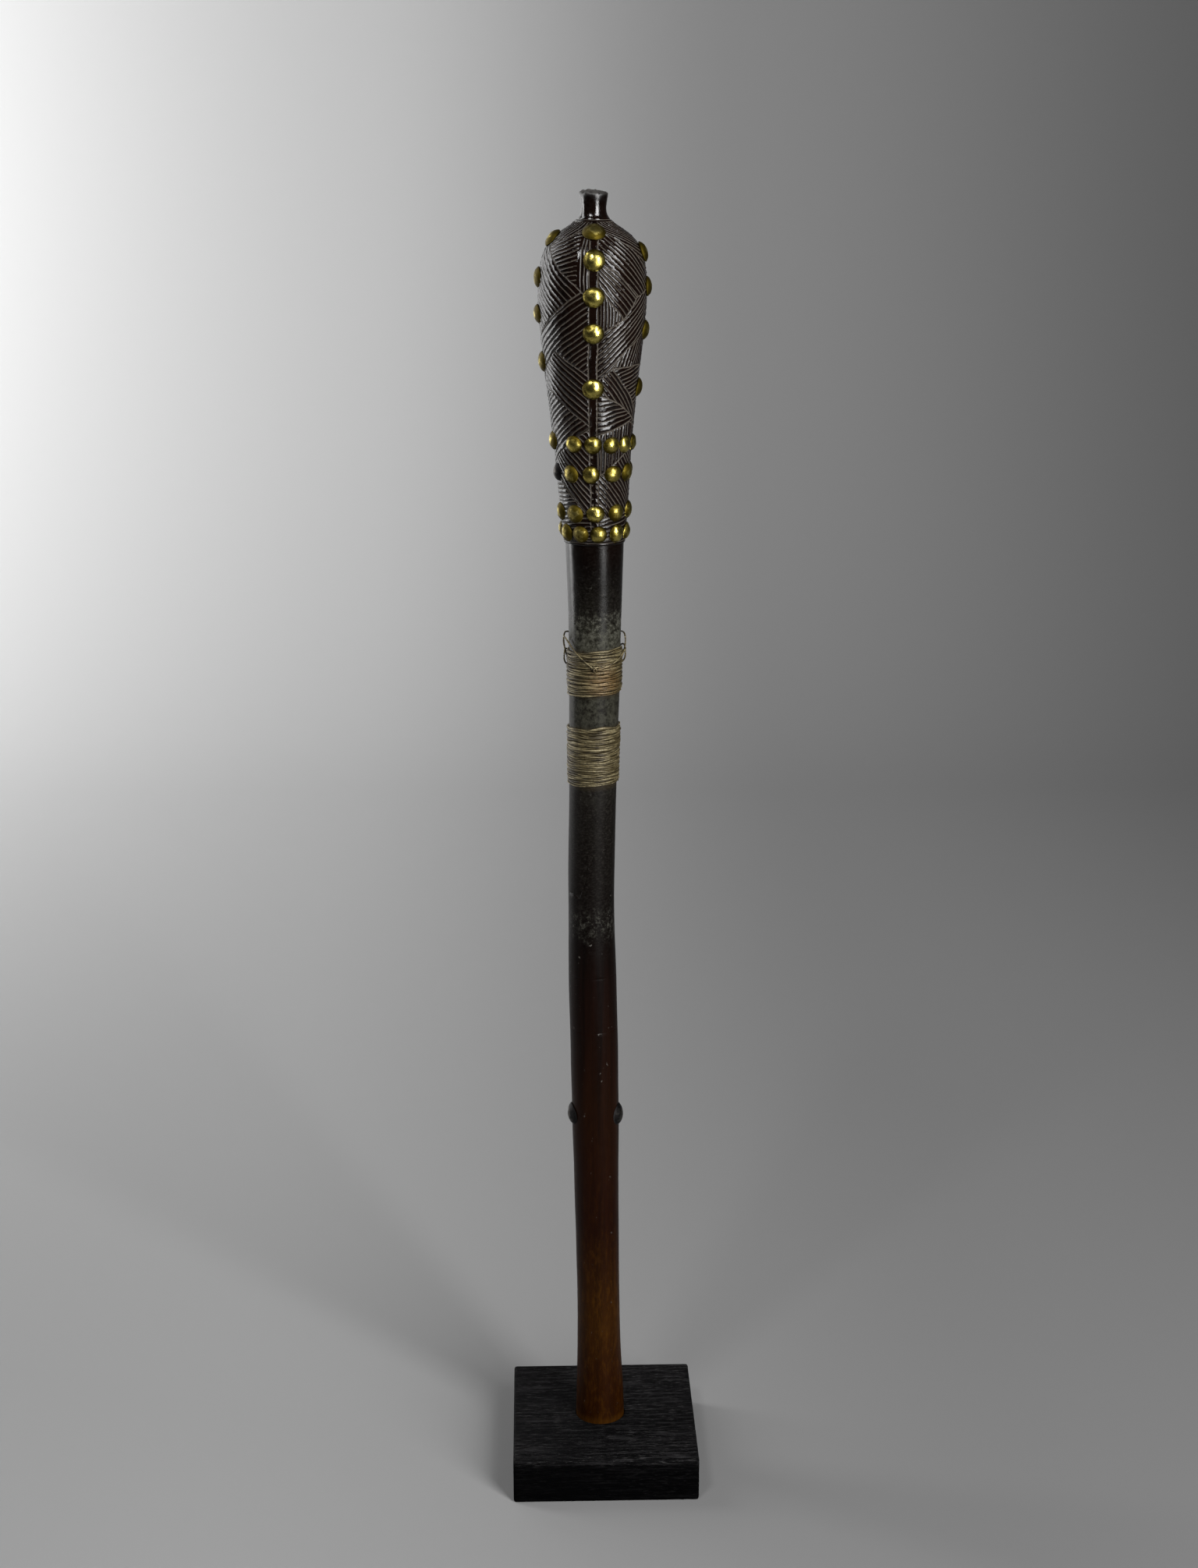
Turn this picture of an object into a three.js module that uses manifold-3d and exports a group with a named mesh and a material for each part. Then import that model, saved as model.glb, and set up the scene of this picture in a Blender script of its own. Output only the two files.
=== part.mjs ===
// A ceremonial sceptre of dark carved wood, standing in a square block.
// The head is hatched with chip-carved fields and studded with brass tacks, and two wire bindings
// are wound round the shaft. Millimetres, +Z up. The origin is the middle of the block's underside,
// the front is -Y, and angles round the staff run from the front towards +X.

import * as THREE from 'three';
import { mergeVertices } from 'three/addons/utils/BufferGeometryUtils.js';
import Module from 'manifold-3d';

const wasm = await Module();
wasm.setup();

// The block, and the socket that the foot stands in
const BLOCK_WIDTH = 92;
const BLOCK_HEIGHT = 23;
const BLOCK_EDGE = 1.2;
const SOCKET_RADIUS = 12.6;
const SOCKET_DEPTH = 15.4;

// The staff. Heights are above the block's top.
const FOOT = -15;
const HEAD_FOOT = 451;
const SHOULDER = 574;
const TOP = 607;
const STAFF_SIDES = 20;
const SHAFT_ROWS = 8;
const HEAD_ROWS = 6;
const CROWN_ROWS = 8;
const SLOPE_REACH = 0.5;
// Pairs of height and radius along the shaft: a swelling foot, a slim middle and a widening neck
const SHAFT_RADII = [
  [FOOT, 12.1], [0, 12.2], [40, 10.9], [80, 10.6], [177, 11.5], [250, 11.4], [262, 11.1],
  [320, 11.1], [375, 11.7], [420, 12.4], [HEAD_FOOT, 13.4],
];
// Pairs of height and radius up the head: neck, swelling, round shoulder and waisted nub
const HEAD_RADII = [
  [HEAD_FOOT, 14.1], [463, 15.1], [491, 17.3], [516, 19.8], [540, 22.7], [562, 24.3],
  [SHOULDER, 23.5], [582, 21.2], [588, 16.4], [592, 10.6], [596, 6.6], [600, 5.85], [604.5, 6.35],
  [606, 5.2], [606.8, 2.8],
];
// Pairs of height and sideways shift of the axis: the staff was cut from a slightly crooked branch
const AXIS_SHIFTS = [
  [0, -1.8], [118, -3.5], [200, -4.7], [280, -6.1], [340, -5.2], [430, -4.3], [530, -5.6], [TOP, -4.7],
];

// The carving: plain strips run down the head at the four quarters, with hatched fields between them
const STRIP_HALF = 1.75;
const CARVING_TOP = 586;
const CARVING_FOOT = 454;
const GROOVE_WIDTH = 1.3;
const GROOVE_DEPTH = 0.65;
const GROOVE_LIFT = 1;
const HATCH_PITCH = 10.5;
const UPRIGHT_PITCH = 5;
const HATCH_EDGE = 3.2;
const HATCH_MARGIN = 1.6;
const SHORTEST_LINE = 9;
const FOLD = 0.37;
const VERTICAL = 90;
const QUARTER = 90;
const STEP_ANGLE = 22;
const NEARBY = 0.05;
const FIELD_REACH = 40;
const LINE_SAMPLES = 40;
// Borders of a panel's fields from the top down: the heights where a border leaves the strip on its
// left, passes the fold and meets the strip on its right, and the slant of the lines below it
const STEEP_PANEL = [
  { left: 589, fold: 590, right: 591, slant: 8 },
  { left: 585, fold: 577, right: 564, slant: -31 },
  { left: 548, fold: 553, right: 563, slant: 30 },
  { left: 544, fold: 538, right: 527, slant: -26 },
  { left: 518, fold: 514, right: 507, slant: 29 },
  { left: 483, fold: 488, right: 498, slant: -34 },
  { left: 482, fold: 477, right: 467, slant: 6 },
  { left: CARVING_FOOT, fold: CARVING_FOOT, right: CARVING_FOOT },
];
const FOLDED_PANEL = [
  { left: 591, fold: 590, right: 589, slant: -32 },
  { left: 570, fold: 553, right: 566, slant: VERTICAL },
  { left: 546, fold: 552, right: 565, slant: 30 },
  { left: 526, fold: 532, right: 544, slant: -48 },
  { left: 518, fold: 514, right: 507, slant: 12 },
  { left: 501, fold: 500, right: 498, slant: VERTICAL },
  { left: 486, fold: 491, right: 497, slant: -52 },
  { left: 468, fold: 463, right: 470, slant: 10 },
  { left: CARVING_FOOT, fold: CARVING_FOOT, right: CARVING_FOOT },
];

// The two panels behind repeat every second border of those in front, and have no lines between
const PANELS = [
  { start: 0, borders: FOLDED_PANEL, hatched: true },
  { start: 90, borders: STEEP_PANEL, hatched: false },
  { start: 180, borders: FOLDED_PANEL, hatched: false },
  { start: 270, borders: STEEP_PANEL, hatched: true },
];

// Brass tacks: four columns down the head, and four uneven rings round its neck
const TACK_SIDES = 7;
const TACK_GAP = 0.3;
const SHANK_RADIUS = 0.7;
const SHANK_LENGTH = 8;
const HOLE_SIDES = 4;
const HOLE_LIFT = 1;
const DOME_BREAK = { radius: 0.62, height: 0.8 };
const COLUMN_TACK = { radius: 4.7, dome: 2.3 };
const RING_TACK = { radius: 4.1, dome: 2.1 };
const DARK_TACK = { radius: 5.6, dome: 2.3 };
const COLUMNS = [
  { name: 'front', angle: 0, heights: [589.7, 578.1, 562.3, 546.5, 522.2] },
  { name: 'right', angle: 86, heights: [580.5, 565.6, 546.4, 521] },
  { name: 'back', angle: 180, heights: [584, 567, 549, 527] },
  { name: 'left', angle: -86, heights: [586.5, 569.5, 553.5, 532.5] },
];
// Each ring lists the angles of its front tacks by hand; those behind are spaced evenly
const RINGS = [
  { name: 'a', height: 497, slope: -0.03, angles: [-80, -30, -1, 27, 53, 82], behind: 4 },
  { name: 'b', height: 483.6, slope: 0, angles: [-74, -39, -5, 31, 64], behind: 4 },
  { name: 'c', height: 465.6, slope: 0.02, angles: [-76, -36, 1, 40, 80], behind: 4 },
  { name: 'd', height: 456.2, slope: 0, angles: [-60, -27, 6, 43, 78], behind: 4 },
];
const DARK_TACK_HEIGHT = 166.8;
const DARK_TACK_ANGLES = { left: -82, right: 76 };

// The bindings: sleeves of wound wire, ribbed round the staff
const BINDING_GAP = 0.3;
const WIRE_RADIUS = 0.45;
const RIB_VALLEY = 0.55;
const RIB_CREST = 1.15;
const WINDING_TILT = 0.5;
const UPPER_BINDING = { from: 379.5, to: 401.5, ribs: 5 };
const LOWER_BINDING = { from: 336, to: 365, ribs: 6 };
const STRAND_SIDES = 4;
const STRAND_STEPS = 14;
// The loose strand of the upper binding: angle, height and standing-off at each bend of the wire
const FRONT_STRAND = [
  [-104, 400, 0.8], [-94, 405, 2.2], [-82, 409, 2.3], [-62, 406, 1.5], [-32, 399.5, 1.6],
  [2, 393.4, 1.8], [24, 394.5, 1.7], [54, 397.6, 1.7], [82, 402, 2.3], [98, 399, 0.8],
];
const BACK_STRAND = [
  [104, 398, 0.8], [94, 406, 2.2], [104, 410, 2], [140, 408.5, 1.4], [180, 406, 1.4],
  [222, 408, 1.4], [258, 410.5, 2], [268, 406, 2.2], [258, 398, 0.8],
];

function readerOf(pairs) {
  const heights = pairs.map((pair) => pair[0]);
  const values = pairs.map((pair) => pair[1]);
  const curve = new THREE.CubicInterpolant(heights, values, 1);
  return (height) => curve.evaluate(height)[0];
}

const shaftRadius = readerOf(SHAFT_RADII);
const headRadius = readerOf(HEAD_RADII);
const axisShift = readerOf(AXIS_SHIFTS);

function radiusAt(height) {
  return height < HEAD_FOOT ? shaftRadius(height) : headRadius(height);
}

function slopeAt(height) {
  const floor = height < HEAD_FOOT ? FOOT : HEAD_FOOT;
  const low = Math.max(height - SLOPE_REACH, floor);
  return (radiusAt(low + SLOPE_REACH) - radiusAt(low)) / SLOPE_REACH;
}

// The length of surface that one millimetre of height covers
function stretchAt(height) {
  return Math.hypot(1, slopeAt(height));
}

// A point at an angle in degrees and a height, standing out from the staff's surface
function onStaff(angle, height, out) {
  const turn = THREE.MathUtils.degToRad(angle);
  const stretch = stretchAt(height);
  const reach = radiusAt(height) + out / stretch;
  const lift = -out * slopeAt(height) / stretch;
  return new THREE.Vector3(
    axisShift(height) + reach * Math.sin(turn),
    -reach * Math.cos(turn),
    height + lift,
  );
}

function sidewaysDegrees(distance, height) {
  return THREE.MathUtils.radToDeg(distance / radiusAt(height));
}

function moveVertices(geometry, place) {
  const position = geometry.attributes.position;
  const corner = new THREE.Vector3();
  for (let index = 0; index < position.count; index += 1) {
    corner.fromBufferAttribute(position, index);
    const moved = place(corner);
    position.setXYZ(index, moved.x, moved.y, moved.z);
  }
  return geometry;
}

function toSolid(geometry) {
  const bare = geometry.clone();
  bare.deleteAttribute('normal');
  bare.deleteAttribute('uv');
  const merged = mergeVertices(bare, 1e-4);
  const vertProperties = Float32Array.from(merged.attributes.position.array);
  const triVerts = Uint32Array.from(merged.index.array);
  return new wasm.Manifold(new wasm.Mesh({ numProp: 3, vertProperties, triVerts }));
}

function toGeometry(solid) {
  const mesh = solid.getMesh();
  const geometry = new THREE.BufferGeometry();
  geometry.setAttribute('position', new THREE.BufferAttribute(mesh.vertProperties, 3));
  geometry.setIndex(new THREE.BufferAttribute(mesh.triVerts, 1));
  return geometry;
}

// A turned shape about +Z, shifted sideways to follow the staff's crooked axis
function turned(profile, sides) {
  const points = profile.map(([radius, height]) => new THREE.Vector2(radius, height));
  const geometry = new THREE.LatheGeometry(points, sides);
  geometry.rotateX(Math.PI / 2);
  return moveVertices(geometry, (corner) => {
    corner.x += axisShift(corner.z);
    return corner;
  });
}

function evenly(from, to, count) {
  return Array.from({ length: count + 1 }, (_, index) => from + (to - from) * index / count);
}

function headRows() {
  const [rim] = HEAD_RADII[HEAD_RADII.length - 1];
  return [...evenly(HEAD_FOOT, SHOULDER, HEAD_ROWS), ...evenly(SHOULDER, rim, CROWN_ROWS).slice(1)];
}

function staffBlank() {
  const profile = [[0, FOOT]];
  evenly(FOOT, HEAD_FOOT, SHAFT_ROWS).forEach((height) => profile.push([shaftRadius(height), height]));
  headRows().forEach((height) => profile.push([headRadius(height), height]));
  profile.push([0, TOP]);
  return turned(profile, STAFF_SIDES);
}

// A V-shaped cut along a route, which gives an angle and a height for each share from 0 to 1
function vCut(route, steps) {
  const half = GROOVE_WIDTH / 2 * (GROOVE_DEPTH + GROOVE_LIFT) / GROOVE_DEPTH;
  const section = new THREE.Shape([
    new THREE.Vector2(0, -GROOVE_DEPTH),
    new THREE.Vector2(half, GROOVE_LIFT),
    new THREE.Vector2(-half, GROOVE_LIFT),
  ]);
  const geometry = new THREE.ExtrudeGeometry(section, { depth: 1, steps, bevelEnabled: false });
  return moveVertices(geometry, (corner) => {
    const here = route(corner.z);
    const before = route(Math.max(corner.z - NEARBY, 0));
    const after = route(Math.min(corner.z + NEARBY, 1));
    const radius = radiusAt(here.height);
    const stretch = stretchAt(here.height);
    const along = THREE.MathUtils.degToRad(after.angle - before.angle) * radius;
    const up = (after.height - before.height) * stretch;
    const length = Math.hypot(along, up);
    const angle = here.angle - sidewaysDegrees(corner.x * up / length, here.height);
    const height = here.height + corner.x * along / length / stretch;
    return onStaff(angle, height, corner.y);
  });
}

function borderHeight(border, share) {
  if (share < FOLD) return THREE.MathUtils.lerp(border.left, border.fold, share / FOLD);
  return THREE.MathUtils.lerp(border.fold, border.right, (share - FOLD) / (1 - FOLD));
}

// The two edges of a strip, in straight steps that bend where the rows of the head do
function stripCuts(angle) {
  const rows = headRows().filter((height) => height > CARVING_FOOT + 1 && height < CARVING_TOP - 1);
  const stops = [CARVING_FOOT, ...rows, CARVING_TOP];
  const steps = stops.length - 1;
  return [-STRIP_HALF, STRIP_HALF].map((side) => vCut((share) => {
    const step = Math.min(Math.floor(share * steps), steps - 1);
    const height = THREE.MathUtils.lerp(stops[step], stops[step + 1], share * steps - step);
    return { angle: angle + sidewaysDegrees(side, height), height };
  }, steps));
}

// A cut across a panel between two shares of its width, in short straight steps round the head
function crossCut(start, from, to, heightOf) {
  const steps = Math.ceil((to - from) * QUARTER / STEP_ANGLE);
  return vCut((share) => {
    const across = THREE.MathUtils.lerp(from, to, share);
    return { angle: start + across * QUARTER, height: heightOf(across) };
  }, steps);
}

// Upright lines between two borders
function uprightCuts(start, upper, lower) {
  const cuts = [];
  const width = radiusAt(upper.fold) * Math.PI / 2;
  const pitch = UPRIGHT_PITCH / width;
  for (let across = 2 * pitch; across < 1 - pitch; across += pitch) {
    const high = borderHeight(upper, across) - HATCH_MARGIN;
    const low = borderHeight(lower, across) + HATCH_MARGIN;
    if (high - low > SHORTEST_LINE) {
      cuts.push(vCut((share) => ({
        angle: start + across * QUARTER,
        height: THREE.MathUtils.lerp(low, high, share),
      }), 2));
    }
  }
  return cuts;
}

// Slanted lines between two borders: each keeps the longest stretch that lies inside the field
function slantedCuts(start, upper, lower) {
  const cuts = [];
  const middle = (borderHeight(upper, 0.5) + borderHeight(lower, 0.5)) / 2;
  const width = radiusAt(middle) * Math.PI / 2;
  const slope = Math.tan(THREE.MathUtils.degToRad(upper.slant)) * width;
  const pitch = HATCH_PITCH / Math.cos(THREE.MathUtils.degToRad(upper.slant));
  const edge = HATCH_EDGE / width;
  const span = Math.abs(slope) / 2 + FIELD_REACH;
  for (let base = middle - span; base < middle + span; base += pitch) {
    const heightOf = (across) => base + slope * (across - 0.5);
    const inside = evenly(edge, 1 - edge, LINE_SAMPLES).filter((across) => (
      heightOf(across) < borderHeight(upper, across) - HATCH_MARGIN
      && heightOf(across) > borderHeight(lower, across) + HATCH_MARGIN
    ));
    const from = inside[0];
    const to = inside[inside.length - 1];
    if (inside.length > 1 && (to - from) * width > SHORTEST_LINE) {
      cuts.push(crossCut(start, from, to, heightOf));
    }
  }
  return cuts;
}

// The fields of one panel: their borders, and the lines inside them where the panel is hatched
function panelCuts({ start, borders, hatched }) {
  const cuts = [];
  const edge = STRIP_HALF / (radiusAt(SHOULDER) * Math.PI / 2);
  borders.slice(0, -1).forEach((upper, index) => {
    const lower = borders[index + 1];
    const hatch = upper.slant === VERTICAL ? uprightCuts : slantedCuts;
    if (hatched) cuts.push(...hatch(start, upper, lower));
    if (index % 2 === 1 || (hatched && index > 0)) {
      cuts.push(crossCut(start, edge, 1 - edge, (across) => borderHeight(upper, across)));
    }
  });
  return cuts;
}

function carvingCuts() {
  const strips = PANELS.flatMap(({ start }) => stripCuts(start));
  return [...strips, ...PANELS.flatMap(panelCuts)];
}

// Lay a shape turned about +Y flat on the staff, with its axis standing out from the surface
function layOnStaff(geometry, angle, height, gap) {
  const stretch = stretchAt(height);
  return moveVertices(geometry, (corner) => onStaff(
    angle + sidewaysDegrees(corner.x, height),
    height - corner.z / stretch,
    corner.y + gap,
  ));
}

function tackShape({ radius, dome }) {
  const profile = [
    [0, -SHANK_LENGTH],
    [SHANK_RADIUS, 0],
    [radius, 0],
    [radius * DOME_BREAK.radius, dome * DOME_BREAK.height],
    [0, dome],
  ];
  return new THREE.LatheGeometry(profile.map((point) => new THREE.Vector2(...point)), TACK_SIDES);
}

function shankHole() {
  const rim = (SHANK_RADIUS + TACK_GAP) / Math.cos(Math.PI / HOLE_SIDES);
  const depth = SHANK_LENGTH + HOLE_LIFT;
  const hole = new THREE.ConeGeometry(rim, depth, HOLE_SIDES);
  hole.rotateX(Math.PI);
  hole.rotateY(Math.PI / HOLE_SIDES);
  return hole.translate(0, HOLE_LIFT - depth / 2, 0);
}

function tackPlaces() {
  const places = [];
  COLUMNS.forEach(({ name, angle, heights }) => heights.forEach((height, index) => {
    places.push({ name: `brass_tack_${name}_${index + 1}`, angle, height, size: COLUMN_TACK });
  }));
  RINGS.forEach(({ name, height, slope, angles, behind }) => {
    const last = angles[angles.length - 1];
    const gap = (360 + angles[0] - last) / (behind + 1);
    const hidden = Array.from({ length: behind }, (_, index) => last + gap * (index + 1));
    [...angles, ...hidden].forEach((angle, index) => {
      const sideways = Math.sin(THREE.MathUtils.degToRad(angle)) * radiusAt(height);
      places.push({
        name: `brass_tack_ring_${name}_${index + 1}`,
        angle,
        height: height + slope * sideways,
        size: RING_TACK,
      });
    });
  });
  Object.entries(DARK_TACK_ANGLES).forEach(([side, angle]) => {
    places.push({ name: `dark_tack_${side}`, angle, height: DARK_TACK_HEIGHT, size: DARK_TACK });
  });
  return places;
}

function carvedStaff(places) {
  let staff = toSolid(staffBlank());
  carvingCuts().forEach((cut) => {
    staff = staff.subtract(toSolid(cut));
  });
  places.forEach(({ angle, height }) => {
    staff = staff.subtract(toSolid(layOnStaff(shankHole(), angle, height, 0)));
  });
  return toGeometry(staff);
}

function bindingSleeve({ from, to, ribs }) {
  const profile = [];
  const pitch = (to - from) / ribs;
  const ring = (height, out) => profile.push([radiusAt(height) + BINDING_GAP + out, height]);
  for (let rib = 0; rib < ribs; rib += 1) {
    ring(from + pitch * rib, rib === 0 ? 0 : RIB_VALLEY);
    ring(from + pitch * (rib + 0.5), RIB_CREST);
  }
  ring(to, 0);
  profile.push([...profile[0]]);
  const sleeve = turned(profile, STAFF_SIDES);
  return moveVertices(sleeve, (corner) => {
    corner.z += WINDING_TILT * (corner.x - axisShift(corner.z)) / radiusAt(corner.z);
    return corner;
  });
}

function looseStrand(bends) {
  const points = bends.map(([angle, height, out]) => onStaff(angle, height, out));
  const section = new THREE.Shape(new THREE.EllipseCurve(0, 0, WIRE_RADIUS, WIRE_RADIUS)
    .getPoints(STRAND_SIDES).slice(0, -1));
  return new THREE.ExtrudeGeometry(section, {
    steps: STRAND_STEPS,
    extrudePath: new THREE.CatmullRomCurve3(points),
    bevelEnabled: false,
  });
}

function upperBinding() {
  let binding = toSolid(bindingSleeve(UPPER_BINDING));
  [FRONT_STRAND, BACK_STRAND].forEach((bends) => {
    binding = binding.add(toSolid(looseStrand(bends)));
  });
  return toGeometry(binding);
}

function baseBlock() {
  const half = BLOCK_WIDTH / 2 - BLOCK_EDGE;
  const outline = new THREE.Shape([
    new THREE.Vector2(-half, -half),
    new THREE.Vector2(half, -half),
    new THREE.Vector2(half, half),
    new THREE.Vector2(-half, half),
  ]);
  const block = new THREE.ExtrudeGeometry(outline, {
    depth: BLOCK_HEIGHT - 2 * BLOCK_EDGE,
    bevelThickness: BLOCK_EDGE,
    bevelSize: BLOCK_EDGE,
    bevelSegments: 2,
  });
  block.translate(0, 0, BLOCK_EDGE);
  const socket = new THREE.CylinderGeometry(SOCKET_RADIUS, SOCKET_RADIUS, 2 * SOCKET_DEPTH, STAFF_SIDES);
  socket.rotateX(Math.PI / 2);
  socket.translate(axisShift(0), 0, BLOCK_HEIGHT);
  return toGeometry(toSolid(block).subtract(toSolid(socket)));
}

const paint = (color, roughness, metalness) => (
  () => new THREE.MeshStandardMaterial({ color, roughness, metalness })
);
const darkWood = paint(0x1d1512, 0.3, 0);
const stainedWood = paint(0x232221, 0.55, 0);
const brass = paint(0xb08d45, 0.32, 1);
const blackMetal = paint(0x17171a, 0.4, 0.8);
const wire = paint(0x6b5a38, 0.5, 0.7);

function piece(name, geometry, material) {
  const mesh = new THREE.Mesh(geometry, material());
  mesh.name = name;
  return mesh;
}

const places = tackPlaces();
const sceptre = new THREE.Group();
sceptre.position.z = BLOCK_HEIGHT;
sceptre.add(piece('carved_staff', carvedStaff(places), darkWood));
sceptre.add(piece('upper_binding', upperBinding(), wire));
sceptre.add(piece('lower_binding', bindingSleeve(LOWER_BINDING), wire));
places.forEach(({ name, angle, height, size }) => {
  const finish = size === DARK_TACK ? blackMetal : brass;
  sceptre.add(piece(name, layOnStaff(tackShape(size), angle, height, TACK_GAP), finish));
});

const part = new THREE.Group();
part.add(piece('base_block', baseBlock(), stainedWood), sceptre);

export default part;
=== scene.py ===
# %% [markdown]
# # A carved sceptre, dressed cell by cell
# The solids of the sceptre are already made and packed. This lesson gives each of them the surface
# that the real one has: hatched carving cut with a small gouge, dented brass tacks, wound wire and
# stained wood. The solids are loaded first, because every piece below takes its place from them.

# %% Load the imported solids
import math
import random
from bisect import bisect_right

import bmesh
import bpy
from bmesh.types import BMEdge, BMFace, BMVert
from mathutils import Matrix, Vector, noise


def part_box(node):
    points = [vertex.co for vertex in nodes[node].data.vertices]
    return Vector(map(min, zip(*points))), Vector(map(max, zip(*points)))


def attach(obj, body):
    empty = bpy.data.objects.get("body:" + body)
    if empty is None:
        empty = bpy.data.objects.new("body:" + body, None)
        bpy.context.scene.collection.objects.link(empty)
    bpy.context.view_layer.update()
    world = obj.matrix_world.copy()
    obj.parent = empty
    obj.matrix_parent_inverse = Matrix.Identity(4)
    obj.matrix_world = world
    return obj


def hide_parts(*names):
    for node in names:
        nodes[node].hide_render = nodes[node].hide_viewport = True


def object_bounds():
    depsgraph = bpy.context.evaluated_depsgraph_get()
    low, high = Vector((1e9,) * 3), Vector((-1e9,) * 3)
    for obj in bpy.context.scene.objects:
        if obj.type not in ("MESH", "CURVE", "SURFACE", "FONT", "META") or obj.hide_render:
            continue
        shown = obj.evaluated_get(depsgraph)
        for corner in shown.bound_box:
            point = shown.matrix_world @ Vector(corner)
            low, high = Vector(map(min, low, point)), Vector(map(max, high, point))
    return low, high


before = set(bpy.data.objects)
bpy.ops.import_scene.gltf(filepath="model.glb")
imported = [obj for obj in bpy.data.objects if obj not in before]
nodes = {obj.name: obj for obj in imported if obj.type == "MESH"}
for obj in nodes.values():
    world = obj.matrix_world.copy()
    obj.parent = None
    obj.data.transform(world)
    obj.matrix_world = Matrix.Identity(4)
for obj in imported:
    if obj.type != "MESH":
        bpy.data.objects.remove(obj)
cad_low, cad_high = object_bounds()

MM = 0.001
BODY = "root"
print("nodes:", len(nodes), "box in mm:", [round(side / MM, 1) for side in cad_high - cad_low])

# %% [markdown]
# ## The camera
# The sceptre was seen from a little above its own height and about a metre away, so the block shows
# its top and the head is almost level with the eye. The block's receding edges give the small turn
# to the side. The lens is a little longer than normal, and the camera looks down just far enough to
# hold the block and the nub in one view.

# %% Place the camera
EYE_DISTANCE = 1060.4
EYE_HEIGHT = 667.8
EYE_ASIDE = -2.4
EYE_TURN = math.radians(-1.6)
EYE_TILT = math.radians(16.3)
LENS = 53.70


def put_in_scene(name, data):
    made = bpy.data.objects.new(name, data)
    bpy.context.scene.collection.objects.link(made)
    return made


camera = put_in_scene("camera", bpy.data.cameras.new("camera"))
camera.data.lens = LENS
camera.location = Vector((
    EYE_ASIDE + EYE_DISTANCE * math.sin(EYE_TURN),
    -EYE_DISTANCE * math.cos(EYE_TURN),
    EYE_HEIGHT,
)) * MM
camera.rotation_euler = (math.pi / 2 - EYE_TILT, 0, EYE_TURN)
bpy.context.scene.camera = camera
bpy.context.scene.view_settings.view_transform = "Standard"
print("camera at", [round(c, 3) for c in camera.location])

# %% [markdown]
# ## The line of the staff
# A staff is a turned shape: a radius for each height, about an axis that wanders a little, because it
# was cut from a branch. A few stations are enough when a smooth curve runs through them. The curve
# takes at each station the mean of the slopes on both sides, which makes it bend gently.

# %% Read a smooth curve through a few stations
BLOCK_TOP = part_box("base_block")[1].z / MM
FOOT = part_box("carved_staff")[0].z / MM - BLOCK_TOP
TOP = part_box("carved_staff")[1].z / MM - BLOCK_TOP
HEAD_FOOT = 451
SHAFT_RADII = (
    (FOOT, 12.1), (0, 12.2), (40, 10.9), (80, 10.6), (177, 11.5), (250, 11.4), (262, 11.1),
    (320, 11.1), (375, 11.7), (420, 12.4), (HEAD_FOOT, 13.4),
)
HEAD_RADII = (
    (HEAD_FOOT, 14.1), (463, 15.1), (491, 17.3), (516, 19.8), (540, 22.7), (562, 24.3), (574, 23.5),
    (582, 21.2), (588, 16.4), (592, 10.6), (595.2, 6.9), (598, 5.75), (602, 5.95), (605, 6.3), (605.7, 6.2),
    (606.1, 5.4), (606.4, 4.2), (606.8, 2.2),
)
AXIS_SHIFTS = (
    (0, -1.8), (118, -3.5), (200, -4.7), (280, -6.1), (340, -5.2), (430, -4.3), (530, -5.6), (TOP, -4.7),
)


def curve_through(stations):
    places = [station[0] for station in stations]
    values = [station[1] for station in stations]
    gaps = [after - before for before, after in zip(places, places[1:])]
    rises = [(values[i + 1] - values[i]) / gap for i, gap in enumerate(gaps)]
    slopes = [rises[0], *[(a + b) / 2 for a, b in zip(rises, rises[1:])], rises[-1]]

    def read(place):
        i = max(0, min(bisect_right(places, place) - 1, len(gaps) - 1))
        t = max(0.0, min(1.0, (place - places[i]) / gaps[i]))
        ease = t * t * (3 - 2 * t)
        bend = slopes[i] * t * (1 - t) ** 2 - slopes[i + 1] * t * t * (1 - t)
        return values[i] + (values[i + 1] - values[i]) * ease + bend * gaps[i]

    return read


shaft_radius = curve_through(SHAFT_RADII)
head_radius = curve_through(HEAD_RADII)
axis_shift = curve_through(AXIS_SHIFTS)
print("radius at the swelling:", round(head_radius(562), 2), "mm, staff", round(TOP - FOOT), "mm long")

# %% [markdown]
# ## Wrapping a flat sheet round the staff
# Carving is easiest on a flat sheet, where every cut is a straight line. The sheet's width is the turn
# round the staff and its height is the distance along the profile, from the middle of the foot over
# the shoulder to the middle of the nub. Measured along the profile, a cut keeps its width even where
# the shoulder turns in. The same function later seats the tacks and the wire.

# %% Measure along the profile and wrap a point
SHEET_RADIUS = 20


def spaced(start, stop, count):
    return [start + (stop - start) * i / count for i in range(count + 1)]


profile = [(0, FOOT)]
profile += [(shaft_radius(h), h) for h in spaced(FOOT, HEAD_FOOT, 466)]
profile += [(head_radius(h), h) for h in spaced(HEAD_FOOT, HEAD_RADII[-1][0], 624)]
profile += [(0, TOP)]
arcs = [0.0]
for (r0, h0), (r1, h1) in zip(profile, profile[1:]):
    arcs.append(arcs[-1] + math.hypot(r1 - r0, h1 - h0))
ARC_END = arcs[-1]
profile_heights = [h for r, h in profile]


def arc_of(height):
    i = max(1, min(bisect_right(profile_heights, height), len(profile) - 1))
    below, above = profile_heights[i - 1], profile_heights[i]
    share = (height - below) / max(above - below, 1e-9)
    return arcs[i - 1] + (arcs[i] - arcs[i - 1]) * share


def profile_at(arc):
    i = max(1, min(bisect_right(arcs, arc), len(arcs) - 1))
    share = (arc - arcs[i - 1]) / (arcs[i] - arcs[i - 1])
    (r0, h0), (r1, h1) = profile[i - 1], profile[i]
    return r0 + (r1 - r0) * share, h0 + (h1 - h0) * share


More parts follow.
